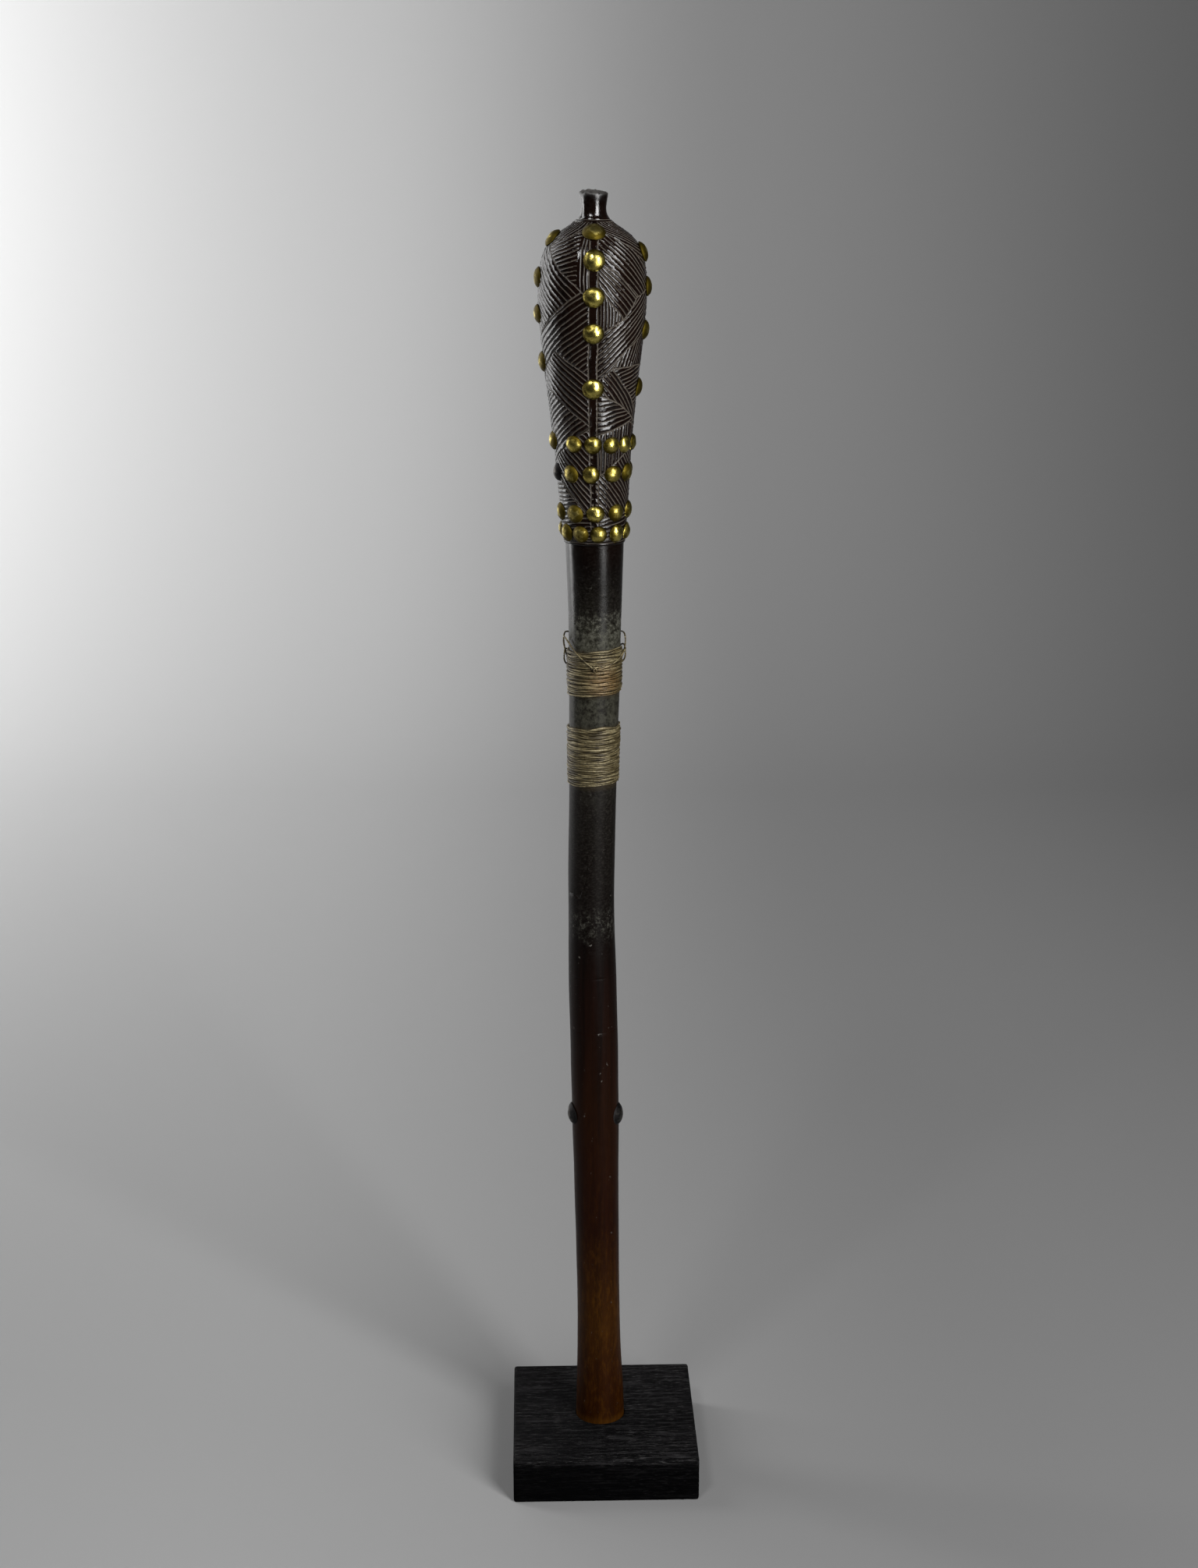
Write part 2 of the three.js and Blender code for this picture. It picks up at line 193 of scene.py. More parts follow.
def wrap(turn, arc, out):
    """The point at a turn in radians and a distance along the profile, standing out from the wood."""
    radius, height = profile_at(arc)
    r0, h0 = profile_at(max(arc - 0.6, 0))
    r1, h1 = profile_at(min(arc + 0.6, ARC_END))
    length = math.hypot(r1 - r0, h1 - h0)
    reach = radius + out * (h1 - h0) / length
    level = height - out * (r1 - r0) / length
    across = axis_shift(height) + reach * math.sin(turn)
    return Vector((across, -reach * math.cos(turn), level + BLOCK_TOP)) * MM


print("profile length:", round(ARC_END, 1), "mm")

# %% [markdown]
# ## Shader nodes in one line each
# Every finish below is a small tree of shader nodes. This helper makes a node, sets its options and
# plugs its sockets, so that a tree reads from the inside out, like a formula.

# %% A helper for shader trees
class Finish:
    def __init__(self, name):
        self.material = bpy.data.materials.new(name)
        self.material.use_nodes = True
        self.tree = self.material.node_tree
        self.shader = self.tree.nodes["Principled BSDF"]
        self.place = self.add("ShaderNodeTexCoord").outputs["Object"]

    def add(self, kind, sockets=None, **options):
        made = self.tree.nodes.new(kind)
        for option, value in options.items():
            setattr(made, option, value)
        self.plug(made, sockets or {})
        return made

    def plug(self, made, sockets):
        for name, value in sockets.items():
            if isinstance(value, bpy.types.NodeSocket):
                self.tree.links.new(value, made.inputs[name])
            else:
                made.inputs[name].default_value = value

    def noise(self, stretch, detail=4.0, rough=0.55):
        """Cloudy noise, stretch being how many clouds fit in a metre along each axis."""
        mapped = self.add("ShaderNodeMapping", {"Vector": self.place, "Scale": stretch})
        made = self.add("ShaderNodeTexNoise", {
            "Vector": mapped.outputs["Vector"], "Scale": 1.0, "Detail": detail, "Roughness": rough,
        })
        return made.outputs["Fac"]

    def ramp(self, value, stops, smooth="LINEAR"):
        """A row of (place, colour or grey) stops read by a value from 0 to 1."""
        made = self.add("ShaderNodeValToRGB", {"Fac": value})
        elements = made.color_ramp.elements
        made.color_ramp.interpolation = smooth
        while len(elements) < len(stops):
            elements.new(1.0)
        for element, (place, colour) in zip(elements, stops):
            element.position = place
            grey = isinstance(colour, (int, float))
            element.color = (colour, colour, colour, 1) if grey else (*colour, 1)
        return made.outputs["Color"]

    def math(self, operation, a, b=0.0):
        made = self.add("ShaderNodeMath", operation=operation)
        self.plug(made, {0: a, 1: b})
        return made.outputs["Value"]

    def product(self, a, b):
        return self.math("MULTIPLY", a, b)

    def blend(self, share, a, b, mode="MIX"):
        made = self.add("ShaderNodeMix", data_type="RGBA", blend_type=mode)
        self.plug(made, {0: share, 6: a, 7: b})
        return made.outputs[2]

    def bump(self, height, strength, distance, under=None):
        sockets = {"Height": height, "Strength": strength, "Distance": distance}
        if under is not None:
            sockets["Normal"] = under
        return self.add("ShaderNodeBump", sockets).outputs["Normal"]

    def height_share(self):
        """How far up the whole object a point lies, from 0 at the floor to 1 at the top."""
        split = self.add("ShaderNodeSeparateXYZ", {"Vector": self.place})
        return self.math("DIVIDE", split.outputs["Z"], cad_high.z)

    def wear(self, **sockets):
        self.plug(self.shader, {name.replace("_", " "): value for name, value in sockets.items()})
        return self.material


def colour(red, green, blue):
    return (red, green, blue, 1)


def by_height(*stops):
    """Stops of a ramp along the height, given in millimetres above the block's top."""
    return [((height + BLOCK_TOP) * MM / cad_high.z, value) for height, value in stops]


print("the staff's foot is at", round(by_height((FOOT, 0))[0][0], 3), "of the height")

# %% [markdown]
# ## Sheets to carve
# The shaft is one flat sheet and the head is four, one for each quarter, because a small sheet is cut
# much faster than a large one. Rows lie about two millimetres apart, and much closer on the nub. The
# quarters meet in the middle of a plain strip. Only the rings cross it, at the same heights on every
# sheet, so the edges stay equal.

# %% Lay out flat sheets
COLUMNS = 96
QUARTER = math.pi / 2 * SHEET_RADIUS
SHAFT_ROW, HEAD_ROW, NUB_ROW = 2.4, 2.2, 0.55
NUB_FOOT = 594.5
JOINT = arc_of(HEAD_FOOT - 6)


def rows_between(start, end):
    rows = [start]
    while end - rows[-1] > 1e-6:
        height = profile_at(rows[-1])[1]
        gap = SHAFT_ROW if rows[-1] < JOINT else HEAD_ROW if height < NUB_FOOT else NUB_ROW
        rows.append(end if end - rows[-1] < 1.5 * gap else rows[-1] + gap)
    return rows


def flat_sheet(columns, left, right, rows):
    bm = bmesh.new()
    bmesh.ops.create_grid(bm, x_segments=columns, y_segments=len(rows) - 1, size=1)
    for vert in bm.verts:
        row = round((vert.co.y + 1) / 2 * (len(rows) - 1))
        vert.co = (left + (vert.co.x + 1) / 2 * (right - left), rows[row], 0)
    bm.verts.layers.float.new("groove")
    bm.verts.layers.float.new("crown")
    return bm


shaft_sheet = flat_sheet(COLUMNS, -2 * QUARTER, 2 * QUARTER, rows_between(0, JOINT))
head_rows = rows_between(JOINT, ARC_END)
quarters = [
    flat_sheet(COLUMNS // 4, i * QUARTER, (i + 1) * QUARTER, head_rows) for i in range(-2, 2)
]
print("faces to carve:", len(shaft_sheet.faces), [len(bm.faces) for bm in quarters])

# %% [markdown]
# ## Scoring a line
# A gouge leaves a V: two edges and a bottom. Cutting the sheet along both edges first and along the
# bottom last gives exactly those three lines, and the cut tells which points lie on the bottom. They
# get a mark in the groove layer, which later sinks them and tells the finish where dust has settled.
# Only the faces handed in are cut, so a line stops at the border of its field.

# %% Score lines on chosen faces
GOUGE_HALF = 0.46


def faces_within(faces, left, right, low, high):
    middles = [(face, face.calc_center_median()) for face in faces]
    return [face for face, m in middles if left < m.x < right and low < m.y < high]


def with_edges(faces):
    edges = dict.fromkeys(edge for face in faces for edge in face.edges)
    return [*edges, *faces]


def only(kind, elements):
    return [element for element in elements if isinstance(element, kind)]


def slice_sheet(bm, geometry, point, direction, aside=0.0):
    across = Vector((-direction.y, direction.x, 0))
    return bmesh.ops.bisect_plane(
        bm, geom=geometry, dist=1e-4, plane_co=point + across * aside, plane_no=across,
    )


def score(bm, faces, point, direction, half=GOUGE_HALF, depth=1.0):
    groove = bm.verts.layers.float["groove"]
    geometry = with_edges(faces)
    for aside in (-half, half):
        geometry = slice_sheet(bm, geometry, point, direction, aside)["geom"]
    cut = slice_sheet(bm, geometry, point, direction)
    for vert in only(BMVert, cut["geom_cut"]):
        vert[groove] = max(vert[groove], depth)
    return only(BMFace, cut["geom"])


def score_line(bm, start, end, half, depth):
    """One straight line between two points of the sheet."""
    left, right = sorted((start.x, end.x))
    low, high = sorted((start.y, end.y))
    faces = faces_within(bm.faces, left, right, low - 5, high + 5)
    score(bm, faces, start, (end - start).normalized(), half, depth)


def score_ring(bm, height, half, depth):
    arc = arc_of(height)
    score_line(bm, Vector((-1e3, arc, 0)), Vector((1e3, arc, 0)), half, depth)


print("gouge:", 2 * GOUGE_HALF, "mm wide")

# %% [markdown]
# ## Marks on the shaft
# The shaft is plain. Two faint rings, worn almost away, and one old crack that starts at the front and
# turns to the left are all that is cut into it.

# %% Score the rings and the crack of the shaft
# The height, half width and depth of each ring, then the turn and height of the crack's points
SHAFT_RINGS = ((240.4, 0.2, 0.12), (212.7, 0.2, 0.14))
CRACK = ((4, 303), (-9, 295), (-24, 285), (-33, 281), (-52, 282.5), (-76, 282))
CRACK_HALF, CRACK_DEPTH = 0.16, 0.42

for height, half, depth in SHAFT_RINGS:
    score_ring(shaft_sheet, height, half, depth)
crack_points = [Vector((math.radians(turn) * SHEET_RADIUS, arc_of(height), 0)) for turn, height in CRACK]
for point, after in zip(crack_points, crack_points[1:]):
    score_line(shaft_sheet, point, after, CRACK_HALF, CRACK_DEPTH)
print("shaft sheet:", len(shaft_sheet.faces), "faces")

# %% [markdown]
# ## The fields of the head
# Four plain strips run down the head, each between two fine lines. Each quarter between them is
# parted by slanting borders into fields, and every field is hatched one way. A border runs straight
# from knot to knot, and a knot is a share of the way across the quarter and a height. Two designs
# alternate: one zigzags in large fields, the other breaks up into smaller ones.

# %% Name the borders and the slant of each field
UPRIGHT = 90
CARVING_FOOT = 454.2
# The knots of a border, then the slant of the field below it, how far its lines fan out and their pitch
ZIGZAG = (
    (((0, 593.4), (1, 593.8)), 62, 0, 1.9),
    (((0, 586), (0.25, 583), (0.67, 588.7), (1, 593)), 17, 20, 2.0),
    (((0, 586), (0.25, 583), (1, 560)), -39, 0, 2.25),
    (((0, 541), (0.85, 564.6), (1, 560)), 35, 0, 2.3),
    (((0, 524), (0.45, 538.5), (1, 526.5)), -37, 0, 2.3),
    (((0, 522), (0.33, 520), (1, 504.3)), 34, 0, 2.2),
    (((0, 486.5), (0.96, 504.8), (1, 504.3)), -47, 0, 2.1),
    (((0, 485), (0.3, 480), (1, 461.5)), 5, 0, 1.9),
    (((0, CARVING_FOOT), (1, CARVING_FOOT)), 0, 0, 0),
)
FOLDED = (
    (((0, 593.8), (1, 593.4)), -36, 0, 1.8),
    (((0, 591.5), (0.48, 584.7), (1, 568)), -43, -8, 2.05),
    (((0, 577), (0.26, 573), (0.585, 561.6), (1, 566)), -45, 12, 1.85),
    (((0, 569), (0.38, 552.2), (0.585, 561.6), (1, 566)), UPRIGHT, 0, 1.75),
    (((0, 544), (0.38, 552.2), (0.585, 561.6), (1, 566)), 38, 0, 1.95),
    (((0, 524), (0.25, 531), (0.47, 539), (1, 550)), 68, 0, 2.0),
    (((0, 524), (0.25, 531), (1, 532)), 15, 0, 1.9),
    (((0, 524), (0.25, 531), (0.47, 522.8), (1, 507)), -50, 0, 1.85),
    (((0, 520.5), (0.39, 515.4), (1, 503)), 8, -26, 2.0),
    (((0, 500.5), (0.66, 506.7), (1, 503)), UPRIGHT, 0, 1.85),
    (((0, 481.5), (0.51, 491), (1, 499)), -50, 0, 1.8),
    (((0, 463), (1, 466)), 8, 0, 1.9),
    (((0, CARVING_FOOT), (1, CARVING_FOOT)), 0, 0, 0),
)
# One field of the zigzag keeps a bundle of upright lines next to the strip on its right
BUNDLE_FIELD, BUNDLE_SHARE, BUNDLE_PITCH = 1, 0.78, 1.75


def as_arcs(borders):
    return [([(share, arc_of(height)) for share, height in knots], *rest) for knots, *rest in borders]


DESIGNS = {"zigzag": as_arcs(ZIGZAG), "folded": as_arcs(FOLDED)}


def stretches(knots):
    return list(zip(knots, knots[1:]))


def border_arc(knots, share):
    for (share_0, arc_0), (share_1, arc_1) in stretches(knots):
        if share <= share_1:
            break
    return arc_0 + (arc_1 - arc_0) * (share - share_0) / (share_1 - share_0)


print("fields:", {name: len(borders) - 1 for name, borders in DESIGNS.items()})

# %% [markdown]
# ## The edges of the strips
# A strip keeps its width of about three and a half millimetres while the head swells and shrinks, so
# on the sheet its edges lean a little. Three straight stretches follow that closely: one up the neck
# and the swelling, two over the shoulder.

# %% Score the edges of the strips
STRIP_HALF = 1.7
STRIP_BENDS = (CARVING_FOOT, 560, 584, 593.4)


def strip_aside(height):
    return STRIP_HALF * SHEET_RADIUS / head_radius(height)


def score_strips(bm, start):
    for middle, side in ((start, 1), (start + QUARTER, -1)):
        for low, high in zip(STRIP_BENDS, STRIP_BENDS[1:]):
            a = Vector((middle + side * strip_aside(low), arc_of(low), 0))
            b = Vector((middle + side * strip_aside(high), arc_of(high), 0))
            reach = 3 * strip_aside(high)
            near = faces_within(bm.faces, middle - reach, middle + reach, a.y, b.y)
            score(bm, near, a, (b - a).normalized())


print("strip:", 2 * STRIP_HALF, "mm wide between its lines")

# %% [markdown]
# ## Hatching
# Inside each field the lines run side by side, a little unevenly, as a hand leaves them, and in some
# fields they fan out. The slant is meant on the wood, and the sheet is wider or narrower than the
# head, so it is corrected with the head's radius there. Lines are cut in order from one side, and faces
# left behind by a line are not looked at again. The wood that stands between two lines is not flat but
# rounded like a cord, so its points get a mark too, which later lifts them.

# %% Hatch one field
hand = random.Random(7)


def hatch(bm, faces, slant, fan, pitch):
    middle = sum((face.calc_center_median() for face in faces), Vector()) / len(faces)
    widen = SHEET_RADIUS / profile_at(middle.y)[0]

    def run_of(degrees):
        tilt = math.radians(degrees)
        return Vector((math.cos(tilt) * widen, math.sin(tilt), 0))

    def places(face, across):
        return [vert.co.dot(across) for vert in face.verts]

    run = run_of(slant)
    spread = widen / run.length
    half = GOUGE_HALF * spread
    across = Vector((-run.y, run.x, 0)).normalized()
    start = min(min(places(face, across)) for face in faces)
    end = max(max(places(face, across)) for face in faces) - 0.3 * pitch
    line = start + pitch * spread * hand.uniform(0.4, 0.8)
    lines = []
    waiting, finished = faces, []
    while line < end:
        turned = run_of(slant + fan * ((line - start) / (end - start) - 0.5)).normalized()
        square = Vector((-turned.y, turned.x, 0))
        point = middle + across * (line - middle.dot(across))
        far = point.dot(square) + half
        reached = [face for face in waiting if min(places(face, square)) < far]
        waiting = [face for face in waiting if min(places(face, square)) >= far]
        for face in score(bm, reached, point, turned, half, hand.uniform(0.75, 1.0)):
            (waiting if max(places(face, square)) > far + 1e-3 else finished).append(face)
        lines.append((point, square))
        line += pitch * spread * hand.uniform(0.86, 1.14)
    crown_lands(bm, finished, lines, half)
    return len(lines)


def crown_lands(bm, faces, lines, half):
    """Mark how far a point lies inside the land between two lines, 1 in its middle and 0 at its edges."""
    crown = bm.verts.layers.float["crown"]
    for vert in dict.fromkeys(vert for face in faces for vert in face.verts):
        asides = [(vert.co - point).dot(square) for point, square in lines]
        above = next((i for i, aside in enumerate(asides) if aside < 0), 0)
        low, high = asides[above - 1] - half, -asides[above] - half
        if above and low > 0 and high > 0:
            vert[crown] = 4 * low * high / (low + high) ** 2


print("hatching: lines", 2 * GOUGE_HALF, "mm wide")

# %% [markdown]
# ## Carving the quarters
# Each quarter gets its rings, strips and borders first, so that the hatching ends in them. At a knot
# the sheet gets a short upright cut without depth, which lets the border change its direction there.
# A stretch that two borders share is cut only once.

# %% Carve the four quarters
HEAD_RINGS = ((NUB_FOOT, 0.3, 0.7), (453.4, 0.3, 0.7), (452.1, 0.3, 0.8), (450.7, 0.15, 0.0))
KNOT_REACH = 4
QUARTER_DESIGNS = ("folded", "zigzag", "folded", "zigzag")


def panel_faces(bm, start):
    edge = strip_aside(560)
    top, foot = arc_of(NUB_FOOT - 0.6), arc_of(CARVING_FOOT)
    return faces_within(bm.faces, start + edge, start + QUARTER - edge, foot, top)


def score_border(bm, start, knots, done):
    for stretch in stretches(knots):
        if stretch in done:
            continue
        a, b = (Vector((start + share * QUARTER, arc, 0)) for share, arc in stretch)
        for knot in (a, b):
            left, right = knot.x - KNOT_REACH, knot.x + KNOT_REACH
            low, high = knot.y - KNOT_REACH, knot.y + KNOT_REACH
            near = faces_within(panel_faces(bm, start), left, right, low, high)
            slice_sheet(bm, with_edges(near), knot, Vector((0, 1, 0)))
        low, high = sorted((a.y, b.y))
        near = faces_within(panel_faces(bm, start), a.x, b.x, low - 3, high + 3)
        score(bm, near, a, (b - a).normalized())
        done.append(stretch)


def field_faces(bm, start, upper, lower):
    found = []
    for face in panel_faces(bm, start):
        middle = face.calc_center_median()
        share = (middle.x - start) / QUARTER
        if border_arc(lower, share) < middle.y < border_arc(upper, share):
            found.append(face)
    return found


def carve_quarter(bm, start, design):
    borders = DESIGNS[design]
    for ring in HEAD_RINGS:
        score_ring(bm, *ring)
    score_strips(bm, start)
    done = []
    for knots, *field in borders[:-1]:
        score_border(bm, start, knots, done)
    lines = 0
    for number, (upper, lower) in enumerate(zip(borders, borders[1:])):
        knots, slant, fan, pitch = upper
        faces = field_faces(bm, start, knots, lower[0])
        if design == "zigzag" and number == BUNDLE_FIELD:
            beside = start + BUNDLE_SHARE * QUARTER
            bundle = faces_within(faces, beside, start + QUARTER, 0, ARC_END)
            lines += hatch(bm, bundle, UPRIGHT, 0, BUNDLE_PITCH)
            faces = faces_within(faces, start, beside, 0, ARC_END)
        lines += hatch(bm, faces, slant, fan, pitch)
    return lines


for i, (bm, design) in enumerate(zip(quarters, QUARTER_DESIGNS)):
    lines = carve_quarter(bm, (i - 2) * QUARTER, design)
    print("quarter", i, design, lines, "lines,", len(bm.faces), "faces")

# %% [markdown]
# ## From sheets to staff
# Now the sheets are bent round the staff. Each point first wanders a little along the sheet, so that
# no line is ruled straight, then sinks by its groove mark or rises by its crown mark. Slow waves in the
# radius leave the traces of the knife, and noise breaks up the nub's top. Merging doubles joins the five
# sheets and draws both ends together on the axis.

# %% Wrap the sheets and join them
GROOVE_DEPTH = 0.5
CROWN = 0.14
WANDER = 0.45
KNIFE_WAVE = 0.16
RAGGED_TOP = 605.2
CHIP_DEPTH, CHIP_SLOPE = 0.9, 0.35
# How often each noise changes round the staff, then its length along the staff in millimetres
WANDER_GRAIN, DEPTH_GRAIN, WAVE_GRAIN = (2.6, 9), (4, 6), (1.3, 22)


def ease_in(value, start, end):
    share = max(0.0, min(1.0, (value - start) / (end - start)))
    return share * share * (3 - 2 * share)


def wood_point(x, arc, mark, crown):
    """The place on the staff of a point of the sheet, with its groove mark and its crown mark."""
    turn = x / SHEET_RADIUS
    radius, height = profile_at(arc)
    round_place = Vector((math.cos(turn), math.sin(turn), 0))

    def spot(often, length):
        return round_place * often + Vector((0, 0, arc / length))

    on_head = ease_in(height, HEAD_FOOT + 3, HEAD_FOOT + 16) * (1 - ease_in(height, 588, 594))
    drift = noise.noise_vector(spot(*WANDER_GRAIN)) * WANDER * on_head
    depth = GROOVE_DEPTH * (0.8 + 0.4 * noise.noise(spot(*DEPTH_GRAIN)))
    wave = KNIFE_WAVE * noise.noise(spot(*WAVE_GRAIN))
    ragged = ease_in(height, RAGGED_TOP, RAGGED_TOP + 0.8) * min(1.0, radius / 3)
    rough = noise.noise(round_place * 3.2 + Vector((5, 0, radius / 2)))
    chip = CHIP_DEPTH * rough - CHIP_SLOPE * math.sin(turn)
    out = wave * min(1.0, radius / 8) + CROWN * crown - mark * depth + chip * ragged
    return wrap(turn + drift.x / max(radius, 4), arc + drift.y, out)


def pour(bm, target):
    """Move all of one mesh into another."""
    mesh = bpy.data.meshes.new("poured")
    bm.to_mesh(mesh)
    bm.free()
    target.from_mesh(mesh)
    bpy.data.meshes.remove(mesh)


joined = bmesh.new()
for bm in (shaft_sheet, *quarters):
    groove, crown = bm.verts.layers.float["groove"], bm.verts.layers.float["crown"]
    for vert in bm.verts:
        vert.co = wood_point(vert.co.x, vert.co.y, vert[groove], vert[crown])
    pour(bm, joined)
bmesh.ops.remove_doubles(joined, verts=joined.verts, dist=0.001 * MM)
bmesh.ops.triangulate(joined, faces=[face for face in joined.faces if len(face.verts) > 4])
bmesh.ops.recalc_face_normals(joined, faces=joined.faces)
open_edges = [edge for edge in joined.edges if not edge.is_manifold]
print("staff:", len(joined.faces), "faces,", len(open_edges), "open edges")

# %% [markdown]
# ## Making a piece
# A finished mesh becomes an object that rides on the body, names its material slot and takes the place
# of its solid.

# %% A helper for pieces
def make_piece(name, bm, material, replaced):
    mesh = bpy.data.meshes.new(name)
    for face in bm.faces:
        face.smooth = True
    bm.to_mesh(mesh)
    bm.free()
    piece = put_in_scene(name, mesh)
    mesh.materials.append(material)
    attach(piece, BODY)
    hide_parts(*replaced)
    return piece


print("pieces ride on", BODY)

# %% [markdown]
# ## The colour of the wood
# The wood is oiled, handled and old: amber brown at the foot, red brown above it, then nearly black,
# with a dry grey on the broken top. One row of colours along the height carries that change. Dark
# fibres run up the staff, and rubbing has brought out honey-coloured patches near the foot.

# %% Colour the wood
wood = Finish("oiled_carved_wood")
wood_up = wood.height_share()
WOOD_COLOURS = (
    (1, (0.03, 0.0105, 0.0008)), (4, (0.013, 0.0033, 0.0002)), (30, (0.014, 0.0036, 0.0003)),
    (55, (0.022, 0.0072, 0.0006)), (106, (0.009, 0.0021, 0.0006)), (177, (0.009, 0.0028, 0.001)),
    (236, (0.005, 0.0018, 0.0011)), (262, (0.0022, 0.0013, 0.001)), (330, (0.0024, 0.0016, 0.0013)),
    (437, (0.0016, 0.001, 0.0008)), (462, (0.0038, 0.0013, 0.0006)), (600, (0.0038, 0.0012, 0.0006)),
    (605.2, (0.0022, 0.0008, 0.0006)), (606, (0.05, 0.046, 0.042)),
)
FIBRE_COLOUR = colour(0.001, 0.0005, 0.0003)
HONEY_COLOUR = colour(0.055, 0.021, 0.002)


def patches(texture, stops, along, *heights):
    """A share that follows a noise texture and is stronger at some heights than at others."""
    return wood.product(wood.ramp(texture, stops), wood.ramp(along, by_height(*heights)))


grain = wood.noise((330, 330, 11), detail=6, rough=0.62)
rubbing = wood.noise((520, 520, 130), detail=6, rough=0.75)
fibres = patches(grain, ((0.36, 0.75), (0.6, 0.0)), wood_up, (0, 0.45), (150, 0.6), (240, 1.0))
honey = patches(
    rubbing, ((0.48, 0.0), (0.7, 1.0)), wood_up, (0, 0.4), (75, 0.5), (110, 0.1), (200, 0.0),
)
oiled = wood.blend(fibres, wood.ramp(wood_up, by_height(*WOOD_COLOURS)), FIBRE_COLOUR)
oiled = wood.blend(honey, oiled, HONEY_COLOUR)
print("wood coloured at", len(WOOD_COLOURS), "heights")

# %% [markdown]
# ## Dust on the shaft
# Where the bindings keep hands away, greenish grey dust has stayed on the wood. It ends above them in a
# pale ragged edge, and a scuffed band lower down looks the same. Under the wire itself there is no
# dust, only brown grime. The cloudy noise that shifts the heights makes the edges ragged.

# %% Lay the dust
DUST_COLOUR = colour(0.051, 0.05, 0.037)
PALE_DUST_COLOUR = colour(0.11, 0.108, 0.09)
GRIME_COLOUR = colour(0.026, 0.019, 0.01)

mottle = wood.noise((420, 420, 300), detail=6, rough=0.72)
grit = wood.noise((420, 420, 420), detail=6, rough=0.85)
ragged_up = wood.math("ADD", wood_up, wood.product(wood.math("SUBTRACT", mottle, 0.5), 0.03))
settling = wood.ramp(ragged_up, by_height(
    (262, 0.0), (322, 0.06), (345, 0.2), (360, 0.6), (382, 0.65),
    (400, 0.85), (409, 0.8), (415, 0.4), (420, 0.1), (440, 0.0),
))
bare = wood.ramp(wood_up, by_height(
    (335, 1.0), (337, 0.1), (363, 0.1), (365, 1.0), (379, 1.0), (381, 0.1), (400, 0.1), (402, 1.0),
))
dusty = wood.product(wood.product(settling, bare), wood.ramp(grit, ((0.4, 0.12), (0.6, 1.0))))
pale = patches(
    grit, ((0.5, 0.0), (0.62, 1.0)), ragged_up,
    (258, 0.0), (266, 0.4), (271, 0.3), (276, 0.0), (396, 0.0), (409, 0.25), (415, 0.7), (420, 0.0),
)
grey = wood.blend(dusty, wood.blend(bare, GRIME_COLOUR, oiled), DUST_COLOUR)
grey = wood.blend(pale, grey, PALE_DUST_COLOUR)
print("dust laid with", len(wood.tree.nodes), "shader nodes so far")

# %% [markdown]
# ## Scratches, flecks and dust in the cuts
# Fine scratches cross the black part of the shaft, and a few pale flecks are scattered over it. Dust in
# the grooves follows the groove mark, so every cut on the head shows as a pale line.

# %% Mark the wood
SCRATCH_COLOUR = colour(0.035, 0.031, 0.027)
FLECK_COLOUR = colour(0.075, 0.07, 0.062)
GROOVE_COLOUR = colour(0.054, 0.044, 0.033)

scratches = wood.noise((640, 640, 1300), detail=5, rough=0.8)
specks = wood.noise((380, 380, 300), detail=3, rough=0.7)
clouds = wood.noise((24, 24, 16), detail=5)
cuts = wood.add("ShaderNodeAttribute", attribute_name="groove").outputs["Fac"]
scratched = patches(
    scratches, ((0.48, 0.0), (0.68, 1.0)), wood_up,
    (245, 0.0), (275, 0.3), (335, 0.42), (345, 0.0), (412, 0.0), (420, 0.35), (451, 0.1),
)
flecked = patches(
    specks, ((0.69, 0.0), (0.72, 1.0)), wood_up,
    (20, 0.5), (150, 0.6), (236, 1.0), (275, 1.0), (290, 0.2), (440, 0.5), (450, 0.0),
)
uneven = wood.ramp(clouds, ((0.3, 0.6), (0.6, 1.0)))
filled = wood.product(wood.ramp(cuts, ((0.22, 0.0), (0.5, 1.0))), uneven)
marked = wood.blend(scratched, grey, SCRATCH_COLOUR)
marked = wood.blend(flecked, marked, FLECK_COLOUR)
marked = wood.blend(filled, marked, GROOVE_COLOUR)
print("wood marked with", len(wood.tree.nodes), "shader nodes so far")

# %% [markdown]
# ## The gloss of the staff
# Hands have polished the head and the nub, the shaft is duller, and dust takes the gloss away. A little
# bump from the same noises breaks the reflections. Only the sharpest edges of the cuts stay hard, and
# everything else is shaded smooth, which rounds the lands between the lines.

# %% Polish the staff
SHARP_EDGE = math.radians(66)

gloss = wood.ramp(wood_up, by_height(
    (0, 0.42), (120, 0.36), (270, 0.38), (330, 0.45), (437, 0.22),
    (470, 0.11), (594, 0.11), (597, 0.12), (604, 0.12), (606, 0.8),
))
smudged = wood.math("ADD", gloss, wood.product(wood.math("SUBTRACT", mottle, 0.48), 0.3))
dull = wood.math("MAXIMUM", smudged, wood.product(wood.math("MAXIMUM", filled, dusty), 0.8))
shine = wood.ramp(wood_up, by_height(
    (0, 0.05), (180, 0.05), (300, 0.07), (400, 0.1), (425, 0.18),
    (448, 0.2), (470, 0.38), (592, 0.38), (598, 0.6),
))
relief = wood.bump(grain, 0.2, 0.0002)
relief = wood.bump(scratches, 0.12, 0.0001, relief)
relief = wood.bump(mottle, 0.16, 0.0004, relief)
relief = wood.bump(grit, 0.1, 0.0004, relief)
wood.wear(Base_Color=marked, Roughness=dull, Normal=relief, Specular_IOR_Level=shine)
staff = make_piece("sceptre_staff", joined, wood.material, ["carved_staff"])
staff.data.set_sharp_from_angle(angle=SHARP_EDGE)
print("staff finished:", staff.data.materials[0].name)

# %% [markdown]
# ## Tacks
# A tack's head is a thin brass dome, and after years of handling none is still round: each has been
# hit flat in places. A sphere gives the dome, a cut through its middle leaves the upper half, and its
# rim is turned under. A few planes then flatten it, at places drawn for each tack on its own.

